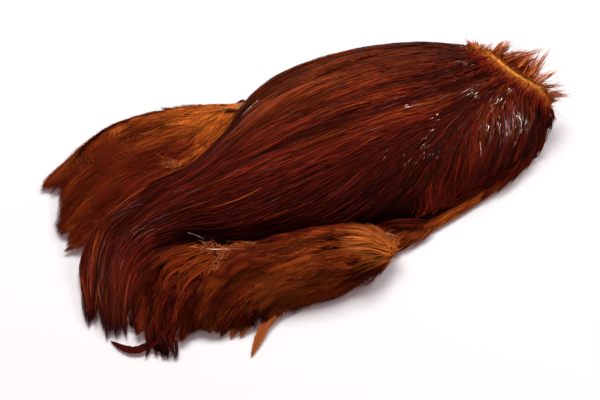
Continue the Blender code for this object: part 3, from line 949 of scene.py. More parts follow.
# %% [markdown]
# ## Beds
# Under the visible vanes the real cape is packed with hidden feather bases and down. Each group gets a closed
# bed of that shape, a little below the sheet, so that no gap between two vanes shows the table. Most beds are
# dark: their colour is painted shade, so that each gap reads as deep shade among the feathers.

# %% Make the beds
BED_ROWS = 40
BED_COLUMNS = 26
BED_FOOT = 1.8
BED_THINNEST = 0.05
BED_GRAIN = (120, 900, 900)


def bed(name, sheet, sink, first, last, colour, far=0.015, near=0.985):
    """A closed solid from sink millimetres below the sheet down to its foot."""
    nothing_selected()
    bpy.ops.mesh.primitive_grid_add(x_subdivisions=BED_ROWS, y_subdivisions=BED_COLUMNS, size=1,
                                    location=(0, 0, 0))
    piece = bpy.context.object
    piece.name = name
    mesh = piece.data
    grid = np.array([tuple(corner.co) for corner in mesh.vertices])
    along = first + (grid[:, 0] + 0.5) * (last - first)
    across = far + (grid[:, 1] + 0.5) * (near - far)
    top = sheet.place(along, across) - sink * sheet.read(sheet.normals, along, across)
    top[:, 2] = np.maximum(top[:, 2], BED_FOOT + BED_THINNEST)
    for corner, place in zip(mesh.vertices, top):
        corner.co = place * MM
    bpy.ops.object.mode_set(mode="EDIT")
    bpy.ops.mesh.select_all(action="DESELECT")
    bpy.ops.mesh.select_mode(type="EDGE")
    bpy.ops.mesh.select_non_manifold()
    bpy.ops.mesh.extrude_edges_move(TRANSFORM_OT_translate={"value": (0, 0, -0.05)})
    bpy.ops.object.mode_set(mode="OBJECT")
    for corner in mesh.vertices:
        if corner.co.z < 0:
            corner.co.z = BED_FOOT * MM
    bpy.ops.object.mode_set(mode="EDIT")
    bpy.ops.mesh.select_all(action="DESELECT")
    bpy.ops.mesh.select_non_manifold()
    bpy.ops.mesh.edge_face_add()
    bpy.ops.mesh.select_all(action="SELECT")
    bpy.ops.mesh.normals_make_consistent(inside=False)
    bpy.ops.object.mode_set(mode="OBJECT")
    bpy.ops.object.shade_smooth_by_angle(angle=0.9)
    mesh.materials.append(bed_material(name.replace("_", " "), colour))
    print(name, "faces:", len(mesh.polygons))
    return piece


def mottled(nodes, links, where, scale, detail, dark, light):
    """Noise, and a colour that it picks between two."""
    noise = nodes.new("ShaderNodeTexNoise")
    noise.inputs["Scale"].default_value = scale
    noise.inputs["Detail"].default_value = detail
    links.new(where, noise.inputs["Vector"])
    shade = nodes.new("ShaderNodeMix")
    shade.data_type = "RGBA"
    shade.inputs["A"].default_value = (*dark, 1.0)
    shade.inputs["B"].default_value = (*light, 1.0)
    links.new(noise.outputs["Fac"], shade.inputs["Factor"])
    return noise.outputs["Fac"], shade.outputs["Result"]


def bed_material(name, colour):
    material, nodes, links, shader = new_material(name)
    place = nodes.new("ShaderNodeTexCoord")
    stretch = nodes.new("ShaderNodeMapping")
    stretch.inputs["Scale"].default_value = BED_GRAIN
    links.new(place.outputs["Object"], stretch.inputs["Vector"])
    noise, shade = mottled(nodes, links, stretch.outputs["Vector"], 1.0, 4.0, colour * 0.4, colour * 1.6)
    links.new(shade, shader.inputs["Base Color"])
    add_relief(nodes, links, shader, noise, 0.4)
    shader.inputs["Roughness"].default_value = 0.8
    shader.inputs["Specular IOR Level"].default_value = 0.1
    return material


# The dark bed colours are painted shade in the gaps between vanes.
hackle_bed = bed("neck_hackle_bed", hackle_sheet, 3.0, 0.01, 0.93, BLACKISH)
crest_bed = bed("crest_bed", crest_sheet, 4.0, 0.0, 0.16, DEEP)
edge_bed = bed("edge_bed", edge_sheet, 1.2, 0.0, 0.95, RUST)
far_bed = bed("far_side_bed", far_sheet, 3.0, -0.10, 0.84, DEEP, far=0.11)
near_bed = bed("near_side_bed", near_sheet, 2.8, 0.02, 0.72, DEEP)
whorl_bed = bed("shoulder_bed", whorl_sheet, 2.8, 0.0, 0.74, BLACKISH)

# %% [markdown]
# ## The side feathers
# The far flap and the near roll carry broad webby feathers: shorter, softer and duller than hackles, and
# bright orange where they leave the skin.

# %% Grow the far flap
SIDE_FADE = [(0, 1.1), (0.5, 1.0), (0.85, 0.95), (1, 1.05)]
FAR_RULES = {
    "thickness": lambda u, v: (u < 0.92) * (1.5 - 0.8 * u),
    "length": [(0, 30), (0.3, 44), (1, 44)], "width": [(0, 4.0), (0.3, 6.5), (1, 6.0)],
    "ragged": 0.80, "loose": 0.10, "curl": 0.14, "rise": (-0.5, 0.5), "root part": 0.7, "roll": 0.06,
    "rounding": 0.12, "vary": 0.12, "locks": 0.25, "lock shade": 0.10, "gather": 0.3, "lock size": (30, 10),
    "within": (0.06, 1.03),
    "end": [(0, 1.03), (0.12, 1.02), (0.30, 0.935), (0.5, 0.925), (0.68, 0.98), (0.8, 0.94), (1.0, 0.98)],
    "light spots": [(6, 70, 16, 1.0), (-14, 75, 15, 0.50), (-8, 86, 8, 0.5), (-26, 95, 8, 0.45),
                    (-44, 99, 7, 0.4), (-62, 99, 7, 0.35), (-80, 96, 7, 0.25)], "light colour": ORANGE * 1.2,
    # The dark spots are partly the flap's own darker tone and partly painted shade under the mantle's edge.
    "dark spots": [(-105, 72, 26, 0.40), (-78, 50, 20, 0.30), (-50, 80, 20, 0.15)], "bands": (5, 9),
    "palette": [(MAHOGANY, 0.48), (RUST * 0.7, 0.36), (RUST, 0.16)], "root colour": RUST,
    "fade": SIDE_FADE,
}
far_feathers = grow_coat("far_side_feathers_top", far_sheet, webby_blade, soft_vane, 480, 201, FAR_RULES)
FAR_STRAND_RULES = {
    **FAR_RULES, "length": [(0, 12), (1, 22)], "width": 0.22, "rise": (0.1, 0.7), "deep": 0.9, "roll": 0.4,
    "within": (0.03, 1.03),
    "rounding": 0.4, "root part": 0.25, "vary": 0.16, "loose": 0.16, "curl": 0.3,
    "thickness": lambda u, v: 1.2 - 0.4 * u, "palette": [(MAHOGANY, 0.35), (RUST, 0.5), (WARM, 0.15)],
}
far_strands = grow_coat("far_side_strands", far_sheet, strand, soft_vane, 3000, 202, FAR_STRAND_RULES)
FAR_FRINGE_RULES = {
    **FAR_RULES, "thickness": lambda u, v: (u > 0.70) * 1.0, "length": 20, "width": 1.7, "shortest": 9,
    "root part": 0.3, "gather": 0.7, "lock size": (25, 7), "clear": 0.04, "ragged": 0.6, "deep": 1.0,
}
far_fringe = grow_coat("far_side_fringe", far_sheet, short_hackle, soft_vane, 260, 203, FAR_FRINGE_RULES)

# %% [markdown]
# ## The far junction
# A narrow band of short orange feathers shows between the neck and the far flap. It gets a small sheet of
# its own.

# %% Grow the bright feathers where the far flap leaves the neck
junction_sheet = Sheet([
    [(24, 75, 4), (12, 73, 6), (-4, 67, 10), (-22, 57, 13), (-42, 50, 14.5)],
    [(20, 71, 6), (10, 66, 8.5), (-4, 59, 10.5), (-20, 53, 13), (-40, 46.5, 15)],
])
JUNCTION_RULES = {
    **FAR_RULES, "thickness": lambda u, v: 1.4 - u, "length": [(0, 18), (1, 12)], "width": 0.8,
    "palette": [(RUST, 0.2), (WARM, 0.4), (ORANGE * 0.7, 0.4)], "root colour": ORANGE, "within": (0, 1.0),
    "end": 1.1, "deep": 1.0, "light spots": [], "dark spots": [], "lock size": (12, 4),
}
junction_feathers = grow_coat("far_junction_feathers", junction_sheet, short_hackle, soft_vane, 160, 205,
                              JUNCTION_RULES)

# %% [markdown]
# ## The near roll
# The near flap is folded up, so its feathers run over a rounded roll and gather into locks. Its rules start
# from those of the far flap and change what differs.

# %% Grow the near roll
NEAR_RULES = {
    **FAR_RULES, "length": [(0, 20), (0.3, 34), (1, 36)], "width": [(0, 2.0), (0.3, 3.2), (1, 3.2)],
    "ragged": 0.74, "loose": 0.14, "curl": 0.22, "rise": (-0.5, 0.8), "roll": 0.12, "vary": 0.16,
    "locks": 0.8, "lock shade": 0.40, "lock size": (30, 7), "gather": 0.5, "lock length": 0.1,
    "light spots": [(12, -58, 10, 0.6), (-20, -50, 16, 0.12), (-39, -56, 14, 0.20)], "light colour": ORANGE,
    # The dark spots are partly the roll's own darker tone and partly painted shade low on the roll and in the
    # valley by the mantle.
    "dark spots": [(-83, -45, 22, 0.8), (-62, -52, 12, 0.52), (-34, -65, 10, 0.20), (-52, -40, 14, 0.15)],
    "palette": [(DEEP, 0.11), (MAHOGANY, 0.35), (RUST, 0.36), (WARM, 0.18)], "root colour": RUST,
    "within": (-0.03, 1.02), "bands": (5, 8),
    "end": [(0, 0.96), (0.2, 0.96), (0.4, 0.93), (0.6, 0.94), (0.8, 0.88), (0.9, 0.78), (1.0, 0.62)],
}
near_feathers = grow_coat("near_side_feathers_top", near_sheet, webby_blade, soft_vane, 620, 211, NEAR_RULES)
NEAR_STRAND_RULES = {
    **NEAR_RULES, "length": [(0, 12), (1, 20)], "width": 0.22, "rise": (0.1, 0.9), "deep": 0.9, "roll": 0.4,
    "rounding": 0.4, "root part": 0.25, "vary": 0.25, "loose": 0.2, "curl": 0.4,
    "thickness": lambda u, v: 1.2 - 0.4 * u,
    "palette": [(DEEP, 0.15), (MAHOGANY, 0.35), (RUST, 0.35), (WARM, 0.15)], "band noise": 0.9,
}
near_strands = grow_coat("near_side_strands", near_sheet, strand, soft_vane, 3600, 212, NEAR_STRAND_RULES)

# %% [markdown]
# ## The shoulder
# Between the roll and the tail the feathers fan out, narrow and dark, in the deepest locks of all.

# %% Grow the fan of the shoulder
WHORL_RULES = {
    **NEAR_RULES, "length": [(0, 24), (0.3, 36), (1, 36)], "width": [(0, 1.0), (0.3, 1.5), (1, 1.3)],
    "locks": 0.9, "lock shade": 0.5, "lock size": (40, 6), "gather": 0.8, "lock lift": 0.8,
    "light spots": [], "dark spots": [(-105, -10, 22, 0.55), (-84, -14, 8, 0.4), (-105, -36, 12, 0.5)],
    "palette": [(BLACKISH, 0.2), (DEEP, 0.32), (MAHOGANY, 0.30), (RUST, 0.18)], "lock length": 0.25,
    "end": [(0, 0.90), (0.25, 0.95), (0.5, 1.0), (1.0, 1.0)],
}
whorl_feathers = grow_coat("shoulder_feathers_top", whorl_sheet, webby_blade, soft_vane, 330, 221,
                           WHORL_RULES)
WHORL_STRAND_RULES = {
    **WHORL_RULES, "length": [(0, 16), (1, 22)], "width": 0.25, "rise": (0.1, 1.0), "deep": 0.9,
    "rounding": 0.4, "vary": 0.35,
}
whorl_strands = grow_coat("shoulder_strands", whorl_sheet, strand, soft_vane, 1300, 222,
                          WHORL_STRAND_RULES)

# %% [markdown]
# ## The near edge
# Below the rim the short pale under-feathers come out from under the hackles and lie nearly flat.

# %% Grow the under-feathers of the near edge
EDGE_RULES = {
    **NEAR_RULES, "length": [(0, 14), (0.3, 22), (1, 22)], "width": [(0, 0.5), (1, 0.8)], "deep": 1.2,
    "rise": (-0.6, 0.0), "locks": 0.2, "lock lift": 0.1, "light spots": [],
    # The dark spots are partly painted shade under the overhanging rim and partly the under-feathers' own
    # darker tone.
    "dark spots": [(134, -47, 16, 0.8), (115, -56, 9, 0.5), (30, -60, 14, 0.3)],
    "palette": [(RUST, 0.35), (WARM, 0.40), (ORANGE * 0.5, 0.25)], "end": 1.12, "roll": 0.2, "lowest": 0.6,
    "within": (-0.03, 0.96), "root colour": WARM,
}
edge_feathers = grow_coat("edge_feathers_top", edge_sheet, short_hackle, soft_vane, 600, 231, EDGE_RULES)

# %% [markdown]
# ## The crease
# The crease between the mantle and the roll would show its bare bed. A thin dark coat covers it; its darkness
# is partly the feathers' own and partly painted shade in the crease.

# %% Cover the crease
CREASE_LEAN = -0.30
CREASE_RULES = {
    **NEAR_RULES, "thickness": lambda u, v: (v < 0.10) * (u < 0.62) * 1.0, "length": 20, "width": 1.0,
    "lean": lambda u, v: CREASE_LEAN + 0 * u, "within": (-0.10, 0.3), "rise": (-0.4, 0.5), "deep": 1.2,
    # Partly painted shade: the crease coat is mostly deep brown.
    "palette": [(DEEP, 0.55), (MAHOGANY, 0.35), (RUST, 0.1)], "root colour": DEEP,
    "light spots": [], "dark spots": [], "lock size": (22, 4), "gather": 0.6, "clear": 0.0, "end": 0.9,
}
crease_feathers = grow_coat("crease_feathers", near_sheet, short_hackle, soft_vane, 300, 213, CREASE_RULES)

# %% [markdown]
# ## The front of the head
# At the head the mantle ends high above the table. A steep sheet hangs from the parting down to it, with a
# bed of its own and a thin coat.

# %% Cover the front of the head
front_sheet = Sheet([
    [(130, 27, 12), (137, 34, 7), (141, 40, 2.0)], [(133, 18, 20), (142, 25, 12), (148, 31, 2.0)],
    [(135, 8, 24), (144, 12, 14), (150, 16, 2.0)], [(135, -6, 27), (144, -4, 16), (150, -2, 2.0)],
    [(135, -20, 28), (143, -19, 17), (148, -19, 2.0)], [(137, -32, 25), (140, -34, 15), (140, -37, 2.0)],
    [(139, -37, 19), (137, -41, 11), (132, -45, 2.5)],
])
FRONT_RULES = {
    **NEAR_RULES, "thickness": lambda u, v: 1.4 - 0.8 * u, "length": 20, "width": 1.1, "end": 1.02,
    "palette": [(DEEP, 0.3), (MAHOGANY, 0.4), (RUST, 0.3)], "root colour": RUST, "rise": (-0.3, 1.2),
    "deep": 1.4, "light spots": [], "dark spots": [], "lock size": (18, 5), "gather": 0.7,
    "clear": 0.0, "lowest": 0.6,
}
front_bed = bed("head_front_bed", front_sheet, 3.0, 0.02, 0.80, DEEP, far=0.03, near=0.95)
front_feathers = grow_coat("head_front_feathers", front_sheet, short_hackle, soft_vane, 700, 114, FRONT_RULES)

# %% [markdown]
# ## Feathers laid one by one
# The crest's spikes, the curled sickle feather at the tail, a stray feather below the roll and some bare
# quills can each be told apart, so their shafts are drawn one by one, as short curves in real millimetres.
# One generator serves all of them, so they differ from each other and come out the same on every run.

# %% Lay drawn feathers
def lay_feathers(name, blade, material, drawn, seed, rounding=0.4):
    """Blades bent along drawn shafts: each entry is its points, half width, roll, root and tip colour."""
    places = np.array([evenly(smooth_curve(points), STATIONS) for points, *_ in drawn])
    places = places - np.array([*CENTRE, 0])
    upward = np.broadcast_to(np.array([0.0, 0.0, 1.0]), places.shape)
    width, roll, root, tip = (np.array([entry[index] for entry in drawn]) for index in range(1, 5))
    corners, faces, soft, _ = bend_blades(blade, places, upward, np.zeros(places.shape[:2] + (1,)), width,
                                          roll, rounding)
    colours = colour_blades(blade, root, tip, [(0, 1.0), (1, 1.0)], 1.0, np.random.default_rng(seed))
    return joined_mesh(name, corners, faces, soft, blade_marks(blade, len(drawn)), colours, material)


chance = np.random.default_rng(31)


def one_feather(points, width, uneven, twist, colours, vary=0.3):
    """A drawn feather that differs a little from the next in its glow, its width and its roll."""
    glow = math.exp(chance.normal(0, vary))
    width = width * chance.uniform(*uneven)
    roll = chance.normal(0, twist) if twist else 0.0
    return points, width, roll, colours[0] * glow, colours[1] * glow


print("entries of a drawn feather: points, half width, roll, root colour, tip colour")

# %% [markdown]
# ## The crest
# Each spike of the crest is a lock of thin feathers. Three layers between the spikes fill the fan: one is
# dark and sunk deep, a painted shade among the hair, and the other two are rusty and a little longer.

# %% Stand the crest up
CREST_SPIKES = [
    ((128.8, 12.5, 26), (127.7, 18.4, 31)), ((134.8, 3.3, 27), (144.6, 5.0, 30)),
    ((134.9, 0.2, 27), (148.3, 4.2, 30)), ((135.4, -0.1, 27), (148.7, 1.2, 29)),
    ((136.5, -3.0, 27), (151.9, -6.9, 28)), ((137.1, -6.4, 27), (164.0, -11.7, 27)),
    ((138.0, -14.3, 28), (149.6, -13.2, 31)), ((138.0, -14.3, 28), (152.0, -16.0, 30)),
    ((137.3, -21.6, 28), (153.7, -14.3, 31)), ((138.4, -24.4, 28), (161.0, -15.4, 30)),
    ((138.2, -28.8, 27), (153.6, -28.7, 27)), ((138.1, -32.3, 26), (152.7, -35.9, 24)),
    ((137.8, -35.3, 24), (151.8, -38.1, 21)), ((138.4, -36.4, 23), (155.1, -40.7, 18)),
    ((137.5, -38.7, 20), (148.3, -37.9, 16)), ((138.4, -38.8, 18), (143.6, -43.1, 6)),
]
CREST_RED = np.array((0.42, 0.085, 0.026))
FEATHERS_PER_SPIKE = 9
spikes = np.array(CREST_SPIKES)


def lock_of(root, tip, bow, width, count, spread, colours):
    """Some thin feathers from roots near one place whose tips nearly meet at another."""
    drawn = []
    for _ in range(count):
        start = root + chance.normal(0, spread, 3) * (1, 1, 0.5)
        reach = chance.uniform(0.62, 1.0)
        end = start + (tip - start) * reach + chance.normal(0, spread * 0.25, 3) * (1, 1, 0.5)
        middle = (start + end) / 2 + np.array([0, 0, bow]) + chance.normal(0, spread * 0.2, 3)
        drawn.append(one_feather([start, middle, end], width, (0.6, 1.2), 0.5, colours))
    return drawn


def brush_between(count, reach, sink, width, colours, first=0, last=len(CREST_SPIKES) - 1.001):
    """Crest feathers that fill the fan between the drawn spikes, from one spike to another."""
    drawn = []
    for _ in range(count):
        where = chance.uniform(first, last)
        spike, part = int(where), where % 1
        root, tip = spikes[spike] * (1 - part) + spikes[spike + 1] * part
        start = root + chance.normal(0, 0.9, 3) - (chance.uniform(-0.5, 5.0), 0, sink)
        end = start + (tip - root) * chance.uniform(*reach) + chance.normal(0, 0.8, 3)
        middle = (start + end) / 2 + (0, 0, chance.uniform(0, 1.0))
        drawn.append(one_feather([start, middle, end], width, (0.6, 1.3), 0.5, colours))
    return drawn


CREST_LAYERS = [
    {"count": 680, "reach": (0.25, 0.60), "sink": 0.8, "width": 0.34, "colours": (WARM, MAHOGANY)},
    # Painted shade: this layer is dark because it lies deep in the crest.
    {"count": 680, "reach": (0.2, 0.55), "sink": 3.0, "width": 0.45, "colours": (MAHOGANY, DEEP)},
    {"count": 720, "reach": (0.35, 0.80), "sink": 1.2, "width": 0.32, "colours": (RUST, MAHOGANY * 1.2),
     "first": 1, "last": 9},
]
crest_drawn = []
for root, tip in spikes:
    crest_drawn += lock_of(root, tip, bow=0.8, width=0.30, count=FEATHERS_PER_SPIKE, spread=1.0,
                           colours=(ORANGE * 0.6, CREST_RED * 0.55))
for layer in CREST_LAYERS:
    crest_drawn += brush_between(**layer)
crest_feathers = lay_feathers("crest_feathers_top", spike_blade, soft_vane, crest_drawn, 33)

# %% [markdown]
# ## Hair along the spikes
# Finer hair runs along every spike, about as far as its tip, so no spike ends in a clean point.

# %% Add the crest's hair
LOOSE_HAIR = [((130.8, 9.6, 26), (129.2, 19.9, 29)), ((128, 9, 26.5), (134.5, 8.5, 31)),
              ((130, 7, 26.5), (138.5, 7.0, 31)), ((133, 3, 27), (141.5, 2.0, 31))]
HAIRS_PER_SPIKE = 9
crest_hair_drawn = []
for root, tip in CREST_SPIKES + LOOSE_HAIR:
    for _ in range(HAIRS_PER_SPIKE):
        start = root + chance.normal(0, 1.0, 3)
        end = start + (tip - start) * chance.uniform(0.8, 1.10) + chance.normal(0, 0.7, 3)
        middle = (start + end) / 2 + (0, 0, chance.uniform(0, 1.2))
        crest_hair_drawn.append(([start, middle, end], chance.uniform(0.16, 0.30), 0.0,
                                 ORANGE, CREST_RED * chance.uniform(0.5, 1.2)))
crest_hair = lay_feathers("crest_hair", strand, soft_vane, crest_hair_drawn, 42)

# %% [markdown]
# ## The parting
# The parting is a line of fine golden hair. Some of it lies towards the crest, some towards the mantle, and
# some runs along the ridge itself. Short dark hackles stand among it.

# %% Brush the parting
PARTING = [(132.8, 15.9, 25), (132.8, 5.1, 27.5), (131.2, -7.2, 29.5), (130.8, -19.0, 30.5),
           (133.5, -27.5, 29.5), (137.3, -34.2, 26.5), (140.4, -37.9, 21)]
ridge_line = evenly(smooth_curve(PARTING), 200)


def parting_strands(count, ahead, aside, length, width, colours):
    """Fine hair from the parting line; ahead and aside are its direction, aside read at the root's y."""
    drawn = []
    for _ in range(count):
        start = ridge_line[chance.integers(len(ridge_line))] + chance.normal(0, 0.55, 3)
        sideways = np.interp(start[1], *aside) + chance.normal(0, 0.22)
        way = np.array([chance.uniform(*ahead), sideways, chance.uniform(-0.25, 0.05)])
        end = start + way * chance.uniform(*length)
        curve = [start - (0, 0, 1), (start + end) / 2 + (0, 0, 0.7), end]
        drawn.append(one_feather(curve, width, (0.7, 1.3), 0.5, colours, vary=0.25))
    return drawn


CREST_ASIDE = ([-38, -10, 8, 16], [-0.25, 0.1, 0.3, 0.9])
MANTLE_ASIDE = ([-38, -28, -10, 16], [-0.8, -0.30, 0.05, 0.3])
PARTING_LAYERS = [
    {"count": 760, "ahead": (0.3, 1.0), "aside": CREST_ASIDE, "length": (1.5, 5.5), "width": 0.16,
     "colours": (PARTING_ORANGE * 0.8, ORANGE * 0.4)},
    {"count": 760, "ahead": (-1.0, -0.7), "aside": MANTLE_ASIDE, "length": (1.5, 5), "width": 0.15,
     "colours": (PARTING_ORANGE, ORANGE * 0.9)},
    {"count": 480, "ahead": (-1.0, -0.7), "aside": MANTLE_ASIDE, "length": (6, 14), "width": 0.14,
     "colours": (PARTING_ORANGE * 0.8, CRIMSON * 1.3)},
]
parting_drawn = []
for layer in PARTING_LAYERS:
    parting_drawn += parting_strands(**layer)

RIDGE_STRANDS = 380
LEAST_STEPS = 14
MOST_STEPS = 30
RIDGE_GLOW = (0.6, 1.05)
for _ in range(RIDGE_STRANDS):
    start = chance.integers(0, len(ridge_line) - MOST_STEPS)
    stop = start + chance.integers(LEAST_STEPS, MOST_STEPS)
    aside = chance.normal(0, 0.5)
    curve = [ridge_line[index] + chance.normal(0, 0.3, 3) + (aside, 0, 0.7 - 0.3 * abs(aside))
             for index in (start, (start + stop) // 2, stop)]
    parting_drawn.append((curve, chance.uniform(0.10, 0.20), 0.0,
                          PARTING_ORANGE * chance.uniform(*RIDGE_GLOW),
                          PARTING_ORANGE * chance.uniform(*RIDGE_GLOW)))
parting_hair = lay_feathers("parting_hair", strand, soft_vane, parting_drawn, 34)

ROOT_SCATTER = 1.6
HACKLES_PER_PLACE = 14
PARTING_RULES = {
    **CROWN_RULES, "spots": [(x, y, ROOT_SCATTER, HACKLES_PER_PLACE) for x, y, _ in ridge_line[::8]],
    "deep": 1.0, "root colour": WARM * 1.5,
}
parting_hackles = grow_coat("parting_hackles", hackle_sheet, short_hackle, glossy_hackle, 0, 112,
                            PARTING_RULES)

# %% [markdown]
# ## Locks
# A lock that can be told apart is drawn as one curve of three points. Thin feathers follow it, apart at the
# root and close together at the tip.

# %% Draw the locks of the shoulder and the tail
SHOULDER_LOCKS = [
    ((-66, -12, 14.5), (-88, -10, 12.2), (-98, -16, 10)),
    ((-66, -14, 14.5), (-82, -12, 13.4), (-96, -25, 9)),
    ((-67, -18, 14.4), (-74, -21, 13.4), (-80, -25, 11.4)),
    ((-68, -4, 14), (-83, 1, 13.6), (-97, -1, 11)),
    ((-66, -15, 14.5), (-84, -17, 12.6), (-93, -23, 9.6)),
    ((-67, -9, 14.2), (-84, -5, 13.4), (-97, -9, 10.6)),
]
TAIL_LOCKS = [
    ((-125.5, 12.6, 5), (-132.4, 0.2, 2.5), (-136.9, -7.6, 1)),
    ((-126.9, 4.5, 6), (-131, -1.4, 3), (-134.1, -5, 1)),
    ((-122.5, 0.2, 7), (-128.8, -10.9, 3), (-134.2, -19.8, 1)),
    ((-119.3, -2.2, 7), (-125.3, -13.6, 3), (-129.9, -21.4, 1)),
    ((-115.3, -5.2, 7), (-121.7, -16.3, 3), (-125.3, -24.2, 1)),
    ((-112.9, -26.8, 7), (-118.3, -34.4, 3), (-125, -39.8, 1)),
    ((-110.7, -32.3, 7), (-113.4, -42, 3), (-116.3, -47.8, 1)),
    ((-107.4, -37.8, 6), (-110.2, -44.4, 3), (-113.6, -49.1, 1)),
    ((-114, -13.1, 6), (-118.6, -17.2, 4), (-119.1, -21.2, 2)),
    ((-111, -7, 7), (-118, -11, 5), (-123.5, -14.5, 3)),
    ((-110, -2, 8), (-117, -7, 6), (-123, -11.5, 4)),
]


def curved_locks(curves, width, count, spread, colours, fan=(1.0, 0.7, 0.15)):
    """Thin feathers that follow each curve; fan is how far apart they are at root, middle and tip."""
    drawn = []
    for root, middle, tip in np.array(curves, dtype=float):
        for _ in range(count):
            offset = chance.normal(0, spread, 3) * (1, 1, 0.3)
            end = middle + (tip - middle) * chance.uniform(0.75, 1.0)
            curve = [root + offset * fan[0] - (0, 0, 1), middle + offset * fan[1], end + offset * fan[2]]
            drawn.append(one_feather(curve, width, (0.6, 1.3), 0.4, colours))
    return drawn


shoulder_drawn = curved_locks(SHOULDER_LOCKS, width=0.5, count=34, spread=1.9,
                              colours=(WARM * 1.3, RUST * 1.15))
shoulder_tufts = lay_feathers("shoulder_tufts", short_hackle, soft_vane, shoulder_drawn, 38)
tail_drawn = curved_locks(TAIL_LOCKS, width=0.6, count=16, spread=1.3, colours=(MAHOGANY, BLACKISH))
tail_locks = lay_feathers("tail_locks", short_hackle, glossy_hackle, tail_drawn, 40)

# %% [markdown]
# ## Locks along the rim
# Short dark locks hang over the near edge of the neck, from the head to the notch before the roll.

# %% Draw the locks along the rim
HEAD_SPIKE = ((140.4, -37.9, 20), (141.0, -41.1, 14), (140.5, -45.7, 10))
NOTCH_LOCKS = [
    ((40.5, -57.5, 8), (28.4, -50.5, 10), (16.4, -43.7, 10)),
    ((36.3, -57.0, 8), (28.3, -52.6, 9), (19.2, -46.9, 9)),
]
RIM_LOCKS = [
    ((139.6, -39, 19), (139.2, -43.2, 15), (136.9, -47.1, 11)),
    ((133.9, -45, 15), (129.4, -49.3, 9), (124.5, -52.1, 5)),
    ((130.2, -48, 12), (125, -52.1, 7), (119.8, -54.3, 3.5)),
    ((120.3, -51.7, 12), (113.1, -55.8, 6), (105.3, -59.3, 3)),
    ((111, -54.4, 10), (101.5, -58.4, 5.5), (92.5, -61, 2.6)),
    ((103.7, -55.3, 10), (94.8, -58.8, 5.5), (87.2, -60.6, 2.6)),
    ((99.8, -56.7, 9), (90.6, -59.6, 5), (81.9, -61.8, 2.4)),
    ((89.7, -57, 8), (79.6, -59.4, 5), (72.4, -59.9, 2.4)),
    ((137.4, -42.5, 17), (136.9, -45.4, 12), (132.8, -48.9, 8)),
]
rim_drawn = curved_locks(RIM_LOCKS, width=0.36, count=12, spread=1.0, colours=(DEEP, MAHOGANY))
rim_drawn += curved_locks([HEAD_SPIKE], width=0.25, count=5, spread=0.4, colours=(DEEP, MAHOGANY))
rim_drawn += curved_locks(NOTCH_LOCKS, width=0.45, count=10, spread=0.8, colours=(BLACKISH, MAHOGANY))
rim_locks = lay_feathers("rim_locks", short_hackle, soft_vane, rim_drawn, 43)

# %% [markdown]
# ## Down
# Where two groups of feathers meet, and along the outer edge of the roll, short curly threads of down show.

# %% Tease out the down
DOWN = [
    ((-68, -6, 14.6), (-60, -15, 16), 1.6, 160), ((-62, -18, 16), (-70, -22, 14.6), 1.4, 120),
    ((-60, -14.5, 16.8), (-46, -22, 17.8), 0.5, 90), ((-50, 54, 14), (-44, 48, 15), 1.6, 150),
    ((-9, -66.5, 3), (-40, -60.5, 3), 0.9, 170),
]


def tease_down(first, last, scatter, count):
    """Short curly threads of down scattered about the line between two places."""
    drawn = []
    line = np.subtract(last, first)
    for _ in range(count):
        start = first + line * chance.random() + chance.normal(0, scatter, 3) * (1, 1, 0.3)
        way = unit(line) * chance.choice([-1, 1]) + chance.normal(0, 0.6, 3) * (1, 1, 0.3)
        end = start + way * chance.uniform(1.5, 3.5)
        curve = [start, (start + end) / 2 + (0, 0, 0.6), end]
        drawn.append(one_feather(curve, 1.0, (0.08, 0.18), 0, (TAN, WARM), vary=0.35))
    return drawn


down_drawn = [thread for line in DOWN for thread in tease_down(*line)]
down = lay_feathers("down_threads", strand, soft_vane, down_drawn, 41)

# %% [markdown]
# ## The notch
# Between the end of the roll and the near edge the skin turns. Small dark feathers cover the turn, in rows
# that follow its slope.

# %% Fill the notch between the roll and the near edge
NOTCH_FEATHERS = 380
NOTCH_LONG = (15, 43)
NOTCH_REACH = [(-14, -7), (-2.5, 1), (-1.5, 0)]
LOWEST_TIP = 1.0
notch_drawn = []
for _ in range(NOTCH_FEATHERS):
    x = chance.uniform(*NOTCH_LONG)
    y = chance.uniform(-61, -43.8 - 0.66 * (x - 20))
    start = np.array([x, y, 7.5 + 0.27 * (y + 45) + chance.normal(0, 0.5)])
    end = start + np.array([chance.uniform(*reach) for reach in NOTCH_REACH])
    end[2] = max(end[2], LOWEST_TIP)
    to_head = np.clip((x - 22) / 8, 0, 1)
    tip_colour = MAHOGANY * (1 - to_head) + WARM * 0.8 * to_head
    curve = [start, (start + end) / 2 + (0, 0, 0.6), end]
    notch_drawn.append(one_feather(curve, 1.0, (0.4, 1.0), 0.3, (DEEP, tip_colour)))
notch_feathers = lay_feathers("notch_feathers", short_hackle, soft_vane, notch_drawn, 39)

# %% [markdown]
# ## The tuft
# The roll ends in an open fan of orange feathers: twelve drawn locks, with three steps from one to the
# next, except where the fan opens.

